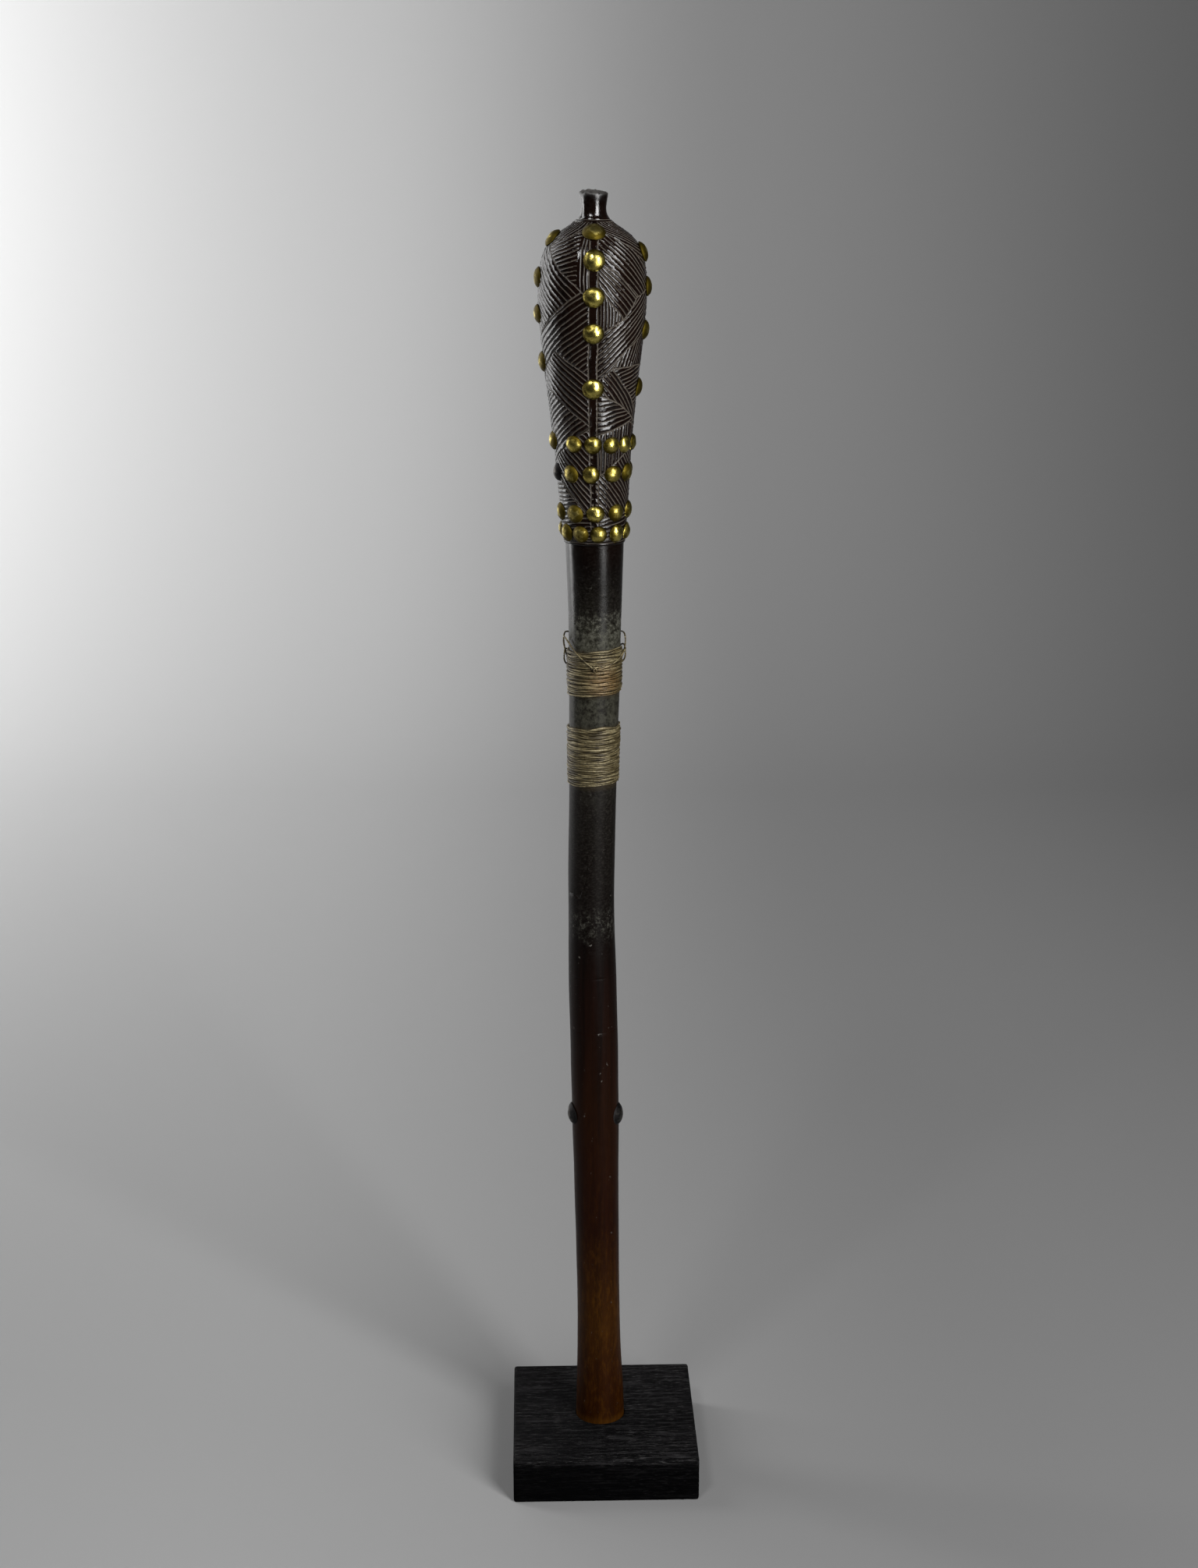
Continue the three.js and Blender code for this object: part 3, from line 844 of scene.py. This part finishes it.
# %% Press and dent a dome
DOME_SIDES, DOME_RINGS = 22, 14
DOME_FULLNESS, DOME_FALL = 2.2, 0.72
RIM, RIM_TUCK = 0.35, 0.97
DENT_LEANS, DENT_DEPTHS, DENT_FLATNESS = (0.15, 0.75), (0.04, 0.11), 0.85
LOPSIDED = (0.94, 1.05)


def rim_of(bm):
    return [edge for edge in bm.edges if edge.is_boundary]


def dented_dome(radius, dome, draw, dents):
    bm = bmesh.new()
    bmesh.ops.create_uvsphere(bm, u_segments=DOME_SIDES, v_segments=DOME_RINGS, radius=1)
    everything = [*bm.verts, *bm.edges, *bm.faces]
    bmesh.ops.bisect_plane(bm, geom=everything, plane_co=(0, 0, 0), plane_no=(0, 0, 1), clear_inner=True)
    # Each point keeps how far out it lies, which the metal uses to lay painted shade towards the rim
    painted_rim_shade = bm.verts.layers.float.new("edge")
    for vert in bm.verts:
        reach = math.hypot(vert.co.x, vert.co.y)
        vert[painted_rim_shade] = reach
        height = dome * max(0.0, 1 - reach ** DOME_FULLNESS) ** DOME_FALL
        vert.co = (vert.co.x * radius, vert.co.y * radius, height)
    for dent in range(dents):
        lean = draw.uniform(*DENT_LEANS)
        turn = draw.uniform(0, 2 * math.pi)
        facing = Vector((lean * math.cos(turn), lean * math.sin(turn), 1)).normalized()
        heights = [vert.co.dot(facing) for vert in bm.verts]
        limit = max(heights) - dome * draw.uniform(*DENT_DEPTHS)
        for vert in bm.verts:
            above = vert.co.dot(facing) - limit
            if above > 0:
                vert.co -= facing * above * DENT_FLATNESS
    bmesh.ops.scale(bm, vec=(draw.uniform(*LOPSIDED), draw.uniform(*LOPSIDED), 1), verts=bm.verts)
    turned = bmesh.ops.extrude_edge_only(bm, edges=rim_of(bm))["geom"]
    lip = only(BMVert, turned)
    bmesh.ops.translate(bm, verts=lip, vec=(0, 0, -RIM))
    bmesh.ops.scale(bm, verts=lip, vec=(RIM_TUCK, RIM_TUCK, 1))
    bmesh.ops.holes_fill(bm, edges=rim_of(bm))
    bmesh.ops.recalc_face_normals(bm, faces=bm.faces)
    return bm


trial = dented_dome(4.7, 2.3, random.Random(1), 3)
print("one tack:", len(trial.faces), "faces")
trial.free()

# %% [markdown]
# ## Brass, bright, tired and shaded
# Hands keep the crowns of the tacks yellow, and brown tarnish stays in the dents; towards the rim the same
# dark colour is laid on as painted shade.
# Three finishes share one recipe and differ in colour, polish and how far the tarnish has spread, and
# the blackened tacks use it too. The tired brass also serves as painted shade on the tacks at the sides.

# %% Mix the metal of the tacks
def metal_finish(name, bright, tarnish_and_rim_shade, spread, polish):
    metal = Finish(name)
    cloud = metal.noise((330, 330, 330), detail=5, rough=0.65)
    speck = metal.noise((1300, 1300, 1300), detail=3)
    edge = metal.add("ShaderNodeAttribute", attribute_name="edge").outputs["Fac"]
    # Painted shade: the tarnish colour is laid on more strongly towards the rim
    painted_rim_shade = metal.ramp(edge, ((0.4, 0.0), (0.95, 0.27)))
    stain = metal.ramp(metal.math("SUBTRACT", cloud, painted_rim_shade), ((spread - 0.14, 1.0), (spread + 0.12, 0.0)))
    tarnish_pits_and_rim_shade = metal.math("MAXIMUM", stain, metal.ramp(speck, ((0.26, 0.9), (0.36, 0.0))))
    body = metal.blend(tarnish_pits_and_rim_shade, bright, tarnish_and_rim_shade)
    dull = metal.ramp(tarnish_pits_and_rim_shade, ((0.0, polish), (1.0, polish + 0.26)))
    relief = metal.bump(cloud, 0.3, 0.0006)
    relief = metal.bump(speck, 0.1, 0.0002, relief)
    return metal.wear(Base_Color=body, Roughness=dull, Normal=relief, Metallic=1.0)


TARNISH_AND_RIM_SHADE = colour(0.055, 0.04, 0.005)
BRASS = (
    metal_finish("bright_brass", colour(0.62, 0.52, 0.13), TARNISH_AND_RIM_SHADE, 0.38, 0.2),
    metal_finish("handled_brass", colour(0.5, 0.41, 0.1), TARNISH_AND_RIM_SHADE, 0.43, 0.23),
    # The tired brass also stands as painted shade on the tacks at the sides
    metal_finish("tired_brass", colour(0.4, 0.33, 0.1), TARNISH_AND_RIM_SHADE, 0.53, 0.29),
)
SOOT = colour(0.012, 0.011, 0.011)
BLACKENED = metal_finish("blackened_metal", colour(0.08, 0.073, 0.064), SOOT, 0.5, 0.3)
print("metals:", [metal.name for metal in BRASS], BLACKENED.name)

# %% [markdown]
# ## Where the tacks sit
# The tacks stand in a column on each plain strip and in four rings below the columns. A ring's seen
# tacks have their own turns, as they were driven by eye, and the hidden ones behind are spaced evenly.
# Two larger black tacks stand alone on the sides of the shaft.

# %% List the seats
# The radius and the height of each kind of tack, then the turn and heights of each column, then the
# height of each ring, its slope and the turns of its tacks in front
COLUMN_TACK, RING_TACK, DARK_TACK, LARGEST_TACK = (4.7, 2.3), (4.1, 2.1), (5.6, 2.3), (5.4, 2.4)
BEHIND = 4
TACK_COLUMNS = {
    "front": (0, (589.7, 578.1, 562.3, 546.5, 522.2)),
    "right": (86, (580.5, 565.6, 546.4, 521)),
    "back": (180, (584, 567, 549, 527)),
    "left": (-86, (586.5, 569.5, 553.5, 532.5)),
}
TACK_RINGS = {
    "a": (497, -0.03, (-80, -30, -1, 27, 53, 82)),
    "b": (483.6, 0, (-74, -39, -5, 31, 64)),
    "c": (465.6, 0.02, (-76, -36, 1, 40, 80)),
    "d": (456.2, 0, (-60, -27, 6, 43, 78)),
}
seats = [("dark_tack_left", -82, 166.8, DARK_TACK), ("dark_tack_right", 76, 166.8, DARK_TACK)]
for column, (turn, heights) in TACK_COLUMNS.items():
    for number, height in enumerate(heights, 1):
        size = LARGEST_TACK if column == "front" and number == 1 else COLUMN_TACK
        seats.append((f"brass_tack_{column}_{number}", turn, height, size))
for ring, (height, slope, turns) in TACK_RINGS.items():
    gap = (360 + turns[0] - turns[-1]) / (BEHIND + 1)
    hidden = [turns[-1] + gap * i for i in range(1, BEHIND + 1)]
    for number, turn in enumerate([*turns, *hidden], 1):
        lifted = height + slope * math.sin(math.radians(turn)) * head_radius(height)
        seats.append((f"brass_tack_ring_{ring}_{number}", turn, lifted, RING_TACK))
print("seats:", len(seats))

# %% [markdown]
# ## Driving the tacks
# A tack keeps its own round shape when it is driven, so it is placed stiffly, square to the wood, and
# only its rim gives a little to the curve. Each one leans up to a few degrees its own way. The columns
# at the sides and behind and a few other seats have tired brass, which on the tacks at the sides is painted
# shade; the leftmost tack of one ring is given the blackened metal as painted shade, and the rest are
# drawn from the two brighter finishes.

# %% Drive a tack into every seat
RIM_GIVE = 0.7
BRASS_DENTS, DARK_DENTS = 3, 7
LEAN = math.radians(4)
# Painted shade: the leftmost tack of ring b gets the blackened metal
SHADED_BLACK_SEATS = ("ring_b_1",)
# Painted shade: the side columns and the leftmost ring tacks get the darker tired brass
TIRED_AND_SHADED_SEATS = ("front_1", "ring_d_2", "ring_b_2", "ring_c_2", "ring_a_1", "ring_c_1", "ring_d_1")
TIRED_AND_SHADED_COLUMNS = ("left", "right", "back")


def seat_frame(turn, height):
    """The place and directions of a seat: across the staff, up along it and out of the wood."""
    arc = arc_of(height)
    place = wrap(turn, arc, 0)
    out = (wrap(turn, arc, 1) - place).normalized()
    across = Vector((math.cos(turn), math.sin(turn), 0))
    turned = Matrix((across, out.cross(across), out)).transposed().to_4x4()
    return Matrix.Translation(place) @ turned


for number, (name, degrees, height, (radius, dome)) in enumerate(seats):
    draw = random.Random(100 + number)
    wood_radius = profile_at(arc_of(height))[0]
    dark = name.startswith("dark")
    bm = dented_dome(radius, dome, draw, DARK_DENTS if dark else BRASS_DENTS)
    for vert in bm.verts:
        vert.co.z -= RIM_GIVE * vert.co.x ** 2 / (2 * wood_radius)
    nod = Matrix.Rotation(draw.uniform(-LEAN, LEAN), 4, "X")
    tip = Matrix.Rotation(draw.uniform(-LEAN, LEAN), 4, "Y")
    placed = seat_frame(math.radians(degrees), height) @ nod @ tip @ Matrix.Scale(MM, 4)
    bmesh.ops.transform(bm, verts=bm.verts, matrix=placed)
    seat = name.removeprefix("brass_tack_")
    tired_and_shaded = seat in TIRED_AND_SHADED_SEATS or seat.startswith(TIRED_AND_SHADED_COLUMNS)
    metal = BLACKENED if dark or seat in SHADED_BLACK_SEATS else BRASS[2] if tired_and_shaded else draw.choice(BRASS[:2])
    make_piece(f"driven_{name}", bm, metal, [name])
print("tacks driven:", len(seats))

# %% [markdown]
# ## The wire bindings
# Thin wire is wound tightly round the shaft in two bands, and wider turns slant over each of them. A
# spin with a rise at each step draws one turn, and copies of it, each starting where the last one ends,
# make the coil. Then every turn is nudged a little up, down and outwards, because no winding lies
# perfectly, and one place in the lower band is pushed open, as the wear has left it.

# %% Wind the two bands
WIRE = 0.38
WIRE_SIDES = 6
TURN_STEPS = 40
COIL_STAND, COIL_TILT = 0.1, 0.5
BANDS = {"upper_binding": (379.9, 401.2, 23), "lower_binding": (336.4, 364.6, 31)}
OVERLAYS = {"upper_binding": (382.5, 399.5, 9), "lower_binding": (338.5, 363, 12)}
OVERLAY_STAND, OVERLAY_TILT = 0.42, -0.7
OPENING_TURN, OPENING_HEIGHT = math.radians(-48), 355.6
OPENING_WIDTH, OPENING_REACH, OPENING_PUSH = 0.55, 3.2, 1.1
NUDGE_ROUND, NUDGE_UP, NUDGE_OUT = 1.28, 0.8, 0.35


def wind(bm, low, high, turns, stand, tilt):
    ring = bmesh.ops.create_circle(bm, segments=WIRE_SIDES, radius=WIRE)["verts"]
    bmesh.ops.rotate(bm, verts=ring, cent=(0, 0, 0), matrix=Matrix.Rotation(math.pi / 2, 3, "X"))
    core = shaft_radius((low + high) / 2)
    bmesh.ops.translate(bm, verts=ring, vec=(core, 0, 0))
    rise = (high - low) / turns
    bmesh.ops.spin(
        bm, geom=[*bm.verts, *bm.edges], cent=(0, 0, 0), axis=(0, 0, 1), dvec=(0, 0, rise / TURN_STEPS),
        angle=2 * math.pi, steps=TURN_STEPS, use_merge=False,
    )
    first = [*bm.verts, *bm.edges, *bm.faces]
    for number in range(1, turns):
        copy = bmesh.ops.duplicate(bm, geom=first)["geom"]
        bmesh.ops.translate(bm, verts=only(BMVert, copy), vec=(0, 0, rise * number))
    bmesh.ops.remove_doubles(bm, verts=bm.verts, dist=0.01)
    bmesh.ops.holes_fill(bm, edges=rim_of(bm))
    for vert in bm.verts:
        turn = math.atan2(vert.co.x, -vert.co.y)
        out = math.hypot(vert.co.x, vert.co.y) - core + WIRE
        height = low + vert.co.z
        place = Vector((math.sin(turn), math.cos(turn), 0)) * NUDGE_ROUND
        nudge = noise.noise_vector(place + Vector((stand * 9, 0, height * NUDGE_UP)))
        away = (turn - OPENING_TURN) / OPENING_WIDTH
        lift = (height - OPENING_HEIGHT) / OPENING_REACH
        opened = OPENING_PUSH * math.exp(-away * away) * lift * math.exp(0.5 - lift * lift / 2)
        loose = 0.7 + 0.5 * ease_in(height, high - 7, high)
        height += tilt * math.sin(turn) + loose * nudge.x + opened
        vert.co = wrap(turn, arc_of(height), out + stand + NUDGE_OUT * max(0.0, nudge.y))


coils = {}
for name, band in BANDS.items():
    coils[name] = bmesh.new()
    wind(coils[name], *band, COIL_STAND, COIL_TILT)
    over = bmesh.new()
    wind(over, *OVERLAYS[name], OVERLAY_STAND, OVERLAY_TILT)
    pour(over, coils[name])
print("coils:", {name: len(bm.faces) for name, bm in coils.items()})

# %% [markdown]
# ## The loose strands
# From the upper band a strand has come free. It crosses the front, is knotted once in the middle and
# stands out at both sides in a loop. A second one runs round the back, and a short loop stands beside
# each end. A wire is drawn by pulling a small ring along a smooth path, one short extrusion after another.

# %% Draw the loose strands
# Each point of a strand has a turn in degrees, a height and a distance from the wood
STRANDS = (
    ((-104, 396, 0.8), (-94, 402, 2.2), (-82, 406.5, 2.3), (-62, 404, 1.3), (-32, 398.8, 1.4),
     (-8, 394.6, 1.5), (2, 393.4, 1.7), (24, 394.5, 1.5), (54, 397.2, 1.5), (82, 401, 2.3), (98, 398, 0.8)),
    ((104, 394, 0.8), (94, 402, 2.2), (104, 407, 2), (140, 406.5, 1.2), (180, 405, 1.2), (222, 406, 1.2),
     (258, 407.5, 2), (268, 403, 2.2), (258, 395, 0.8)),
    ((-110, 391, 0.6), (-96, 394, 1.9), (-86, 397.5, 2.2), (-96, 400, 1.6), (-112, 399, 0.6)),
    ((110, 392, 0.6), (96, 395, 2), (86, 399, 2.3), (96, 402, 1.7), (112, 401, 0.6)),
)
KNOT = (
    (-7, 393.4, 1.2), (-3, 394.8, 2.0), (2, 393.6, 2.6), (1, 392.2, 1.9), (-3, 393.2, 2.4),
    (3, 394.6, 2.1), (9, 393.8, 1.3),
)
STRAND_STEPS = 8


def draw_wire(bm, path, radius):
    tracks = [curve_through(list(enumerate(values))) for values in zip(*path)]
    count = (len(path) - 1) * STRAND_STEPS
    points = []
    for step in range(count + 1):
        degrees, height, out = (track(step / STRAND_STEPS) for track in tracks)
        points.append(wrap(math.radians(degrees), arc_of(height), out))
    ring = bmesh.ops.create_circle(bm, segments=WIRE_SIDES, radius=radius * MM)["verts"]
    edges = list(dict.fromkeys(edge for vert in ring for edge in vert.link_edges))
    ends = edges[:]
    before = Matrix.Identity(4)
    for step, point in enumerate(points):
        ahead = points[min(step + 1, count)] - points[max(step - 1, 0)]
        after = Matrix.Translation(point) @ ahead.to_track_quat("Z", "Y").to_matrix().to_4x4()
        if step:
            grown = bmesh.ops.extrude_edge_only(bm, edges=edges)["geom"]
            ring = only(BMVert, grown)
            edges = [edge for edge in only(BMEdge, grown) if all(vert in ring for vert in edge.verts)]
        bmesh.ops.transform(bm, verts=ring, matrix=after @ before.inverted())
        before = after
    bmesh.ops.holes_fill(bm, edges=[*ends, *edges])


for strand in (*STRANDS, KNOT):
    draw_wire(coils["upper_binding"], strand, WIRE)
print("upper band with its strands:", len(coils["upper_binding"].faces), "faces")

# %% [markdown]
# ## The finish of the wire
# The wire has gone olive brown, lighter where it is rubbed, with dark specks. One patch at the front of
# the upper band carries a painted highlight in warm amber, which fades with the distance from its middle.

# %% Oxidise the wire
# The middle and reach of a painted highlight on the front of the upper band
PAINTED_HIGHLIGHT_PLACE = wrap(math.radians(22), arc_of(386.5), 0.5)
PAINTED_HIGHLIGHT_REACH = 11 * MM


def wire_finish():
    wire = Finish("oxidised_wire")
    cloud = wire.noise((90, 90, 1100), detail=5, rough=0.65)
    speck = wire.noise((900, 900, 900), detail=3)
    worn = wire.ramp(cloud, (
        (0.4, (0.02, 0.014, 0.004)), (0.5, (0.084, 0.064, 0.026)), (0.62, (0.2, 0.168, 0.092)),
    ))
    # Painted highlight: warm amber fading with the distance from its middle
    highlight_distance = wire.add("ShaderNodeVectorMath", operation="DISTANCE")
    wire.plug(highlight_distance, {0: wire.place, 1: PAINTED_HIGHLIGHT_PLACE})
    nearness = wire.product(highlight_distance.outputs["Value"], 1 / PAINTED_HIGHLIGHT_REACH)
    painted_highlight = wire.ramp(nearness, ((0.2, 0.55), (1.0, 0.0)))
    with_painted_highlight = wire.blend(painted_highlight, worn, colour(0.14, 0.072, 0.018))
    spotted = wire.blend(wire.ramp(speck, ((0.35, 0.7), (0.5, 0.0))), with_painted_highlight, colour(0.025, 0.017, 0.006))
    return wire.wear(Base_Color=spotted, Roughness=0.5, Metallic=0.3, Normal=wire.bump(speck, 0.3, 0.0002))


WIRE_FINISH = wire_finish()
for name, bm in coils.items():
    bmesh.ops.recalc_face_normals(bm, faces=bm.faces)
    make_piece(f"wound_{name}", bm, WIRE_FINISH, [name])
print("bindings wound with", WIRE_FINISH.name)

# %% [markdown]
# ## The block
# The block is a plain square of open-grained wood, stained black, with its edges rubbed round. A ring
# bridged from the square to the socket's circle gives the top, the socket's wall is drawn down from
# the circle and the sides from the square, and a bevel rounds the edges.

# %% Build the block
SOCKET_RADIUS, SOCKET_DEPTH = 12.6 * MM, 15.4 * MM
BLOCK_SIDES = 48
RUBBED = 1.3 * MM


def pull_down(bm, edges, depth):
    grown = bmesh.ops.extrude_edge_only(bm, edges=edges)["geom"]
    bmesh.ops.translate(bm, verts=only(BMVert, grown), vec=(0, 0, -depth))


def build_block():
    low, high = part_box("base_block")
    half = (high.x - low.x) / 2
    bm = bmesh.new()
    square = bmesh.ops.create_circle(bm, segments=4, radius=half * math.sqrt(2))["verts"]
    bmesh.ops.rotate(bm, verts=square, cent=(0, 0, 0), matrix=Matrix.Rotation(math.pi / 4, 3, "Z"))
    bmesh.ops.subdivide_edges(bm, edges=bm.edges[:], cuts=BLOCK_SIDES // 4 - 1)
    socket = bmesh.ops.create_circle(bm, segments=BLOCK_SIDES, radius=SOCKET_RADIUS)["verts"]
    bmesh.ops.translate(bm, verts=socket, vec=(axis_shift(0) * MM, 0, 0))
    bmesh.ops.bridge_loops(bm, edges=bm.edges[:])
    bmesh.ops.translate(bm, verts=bm.verts, vec=(0, 0, high.z))
    rim = rim_of(bm)
    outer = [edge for edge in rim if edge.verts[0].co.xy.length > half / 2]
    inner = [edge for edge in rim if edge.verts[0].co.xy.length <= half / 2]
    pull_down(bm, outer, high.z - low.z)
    pull_down(bm, inner, SOCKET_DEPTH)
    bmesh.ops.holes_fill(bm, edges=rim_of(bm))
    bmesh.ops.recalc_face_normals(bm, faces=bm.faces)
    folds = [edge for edge in bm.edges if edge.calc_face_angle() > 1]
    corners = [edge for edge in folds if edge.verts[0].co.xy.length > half / 2]
    bmesh.ops.bevel(
        bm, geom=corners, offset=RUBBED, affect="EDGES", segments=3, profile=0.5, material=-1,
    )
    return bm


black_block = build_block()
print("block:", len(black_block.faces), "faces")

# %% [markdown]
# ## The finish of the block
# The stain is black, and only the raised fibres and the open pores on the top catch some light. They run
# from side to side. The sides are painted darker than the top as painted shade, and are duller too.

# %% Stain the block
PORE_COLOUR = colour(0.05, 0.048, 0.048)
PATCH_COLOUR = colour(0.0012, 0.0012, 0.0015)
# The colour of the painted shade on the block's sides
SIDE_SHADE_COLOUR = colour(0.0004, 0.0004, 0.0005)
BLOCK_SHARP_EDGE = math.radians(40)


def block_finish():
    stain = Finish("black_open_grain")
    fibre = stain.noise((45, 650, 650), detail=7, rough=0.75)
    pores = stain.noise((190, 1300, 1300), detail=5, rough=0.8)
    cloud = stain.noise((14, 26, 26), detail=4)
    body = stain.ramp(fibre, (
        (0.42, (0.0006, 0.0006, 0.0007)), (0.52, (0.0036, 0.0034, 0.0036)), (0.62, (0.026, 0.025, 0.026)),
    ))
    opened = stain.blend(stain.ramp(pores, ((0.54, 0.0), (0.64, 0.9))), body, PORE_COLOUR)
    patchy = stain.blend(stain.ramp(cloud, ((0.35, 0.7), (0.62, 0.0))), opened, PATCH_COLOUR)
    # Painted shade: below the top face the sides get a darker colour and less sheen
    painted_side_shade = stain.ramp(stain.height_share(), by_height((-1.6, 0.88), (-0.5, 0.0)))
    block_with_side_shade = stain.blend(painted_side_shade, patchy, SIDE_SHADE_COLOUR)
    sheen = stain.ramp(painted_side_shade, ((0.0, 0.04), (0.88, 0.015)))
    relief = stain.bump(pores, 0.3, 0.0002, stain.bump(fibre, 0.4, 0.0004))
    return stain.wear(Base_Color=block_with_side_shade, Roughness=0.7, Normal=relief, Specular_IOR_Level=sheen)


block = make_piece("stained_block", black_block, block_finish(), ["base_block"])
block.data.set_sharp_from_angle(angle=BLOCK_SHARP_EDGE)
print("block stained:", block.data.materials[0].name)

# %% [markdown]
# ## The floor
# A pale floor sweeps up behind the sceptre without a corner. It begins as one line that runs back, turns
# up through a quarter circle and rises, and pulling that line sideways makes the sheet. Its paint is
# darkened towards the viewer and towards the right as painted shade, where the light falls off.

# %% Sweep the floor
FLOOR_FRONT, FLOOR_BACK, FLOOR_SIDE = -2.0, 1.2, 3.0
FLOOR_CURVE, FLOOR_RISE, CURVE_STEPS = 0.8, 2.6, 16


def floor_sheet():
    bm = bmesh.new()
    start = bm.verts.new((-FLOOR_SIDE, FLOOR_FRONT, 0))
    corner = bm.verts.new((-FLOOR_SIDE, FLOOR_BACK, 0))
    bm.edges.new((start, corner))
    bmesh.ops.spin(
        bm, geom=[corner], cent=(-FLOOR_SIDE, FLOOR_BACK, FLOOR_CURVE), axis=(1, 0, 0), angle=math.pi / 2,
        steps=CURVE_STEPS, use_merge=False,
    )
    last = max(bm.verts, key=lambda vert: vert.co.z)
    up = bmesh.ops.extrude_vert_indiv(bm, verts=[last])["verts"]
    bmesh.ops.translate(bm, verts=up, vec=(0, 0, FLOOR_RISE))
    strip = bmesh.ops.extrude_edge_only(bm, edges=bm.edges[:])["geom"]
    bmesh.ops.translate(bm, verts=only(BMVert, strip), vec=(2 * FLOOR_SIDE, 0, 0))
    bmesh.ops.recalc_face_normals(bm, faces=bm.faces)
    for face in bm.faces:
        face.smooth = True
    return bm


def floor_finish():
    paint = Finish("pale_floor")
    split = paint.add("ShaderNodeSeparateXYZ", {"Vector": paint.place})
    nearness = paint.math("ADD", split.outputs["Y"], 1.0)
    # Painted shade: the floor darkens towards the viewer and towards the right, where the light falls off
    painted_front_shade = paint.ramp(nearness, ((0.1, 0.03), (0.75, 0.29)), "EASE")
    sideways = paint.product(paint.math("ADD", split.outputs["X"], 1.5), 1 / 3)
    painted_right_shade = paint.ramp(sideways, ((0.2, 1.0), (0.42, 0.93), (0.58, 0.58), (0.85, 0.36)), "EASE")
    floor_with_painted_shade = paint.blend(1.0, painted_front_shade, painted_right_shade, "MULTIPLY")
    return paint.wear(Base_Color=floor_with_painted_shade, Roughness=0.95, Specular_IOR_Level=0.1)


floor_mesh = bpy.data.meshes.new("floor")
sheet = floor_sheet()
sheet.to_mesh(floor_mesh)
sheet.free()
floor_mesh.materials.append(floor_finish())
floor = put_in_scene("floor", floor_mesh)
print("floor:", len(floor_mesh.polygons), "faces")

# %% [markdown]
# ## The light
# A tall soft light stands to the right of the viewer, and a weaker one on the left, a little behind the
# sceptre. Each draws a bright line down the polished wood. A small light above lifts the tops of the
# tacks, and the last one brightens the backdrop on the left.

# %% Hang the lights
# The place of each light, the point that it faces, its width and height in metres and its power
LIGHTS = {
    "window_left": ((-1.1, 0.42, 0.85), (0.2, -0.2, 0.45), (0.34, 1.7), 12),
    "window_right": ((0.84, -1.24, 0.95), (0, 0, 0.45), (0.55, 1.8), 52),
    "window_above": ((-0.55, -1.0, 1.75), (0, 0, 0.55), (0.35, 0.35), 10),
    "backdrop_left": ((-1.9, 1.1, 0.9), (-1.55, 2.0, 0.5), (1.2, 1.7), 125),
}
SKY_COLOUR, SKY_STRENGTH = colour(0.8, 0.8, 0.8), 0.03

for name, (place, target, size, power) in LIGHTS.items():
    lamp = bpy.data.lights.new(name, "AREA")
    lamp.shape = "RECTANGLE"
    lamp.size, lamp.size_y = size
    lamp.energy = power
    light = put_in_scene(name, lamp)
    light.location = place
    light.rotation_euler = (Vector(target) - Vector(place)).to_track_quat("-Z", "Y").to_euler()
world = bpy.data.worlds.new("studio")
bpy.context.scene.world = world
world.use_nodes = True
sky = world.node_tree.nodes["Background"]
sky.inputs["Color"].default_value = SKY_COLOUR
sky.inputs["Strength"].default_value = SKY_STRENGTH
print("lights:", list(LIGHTS))
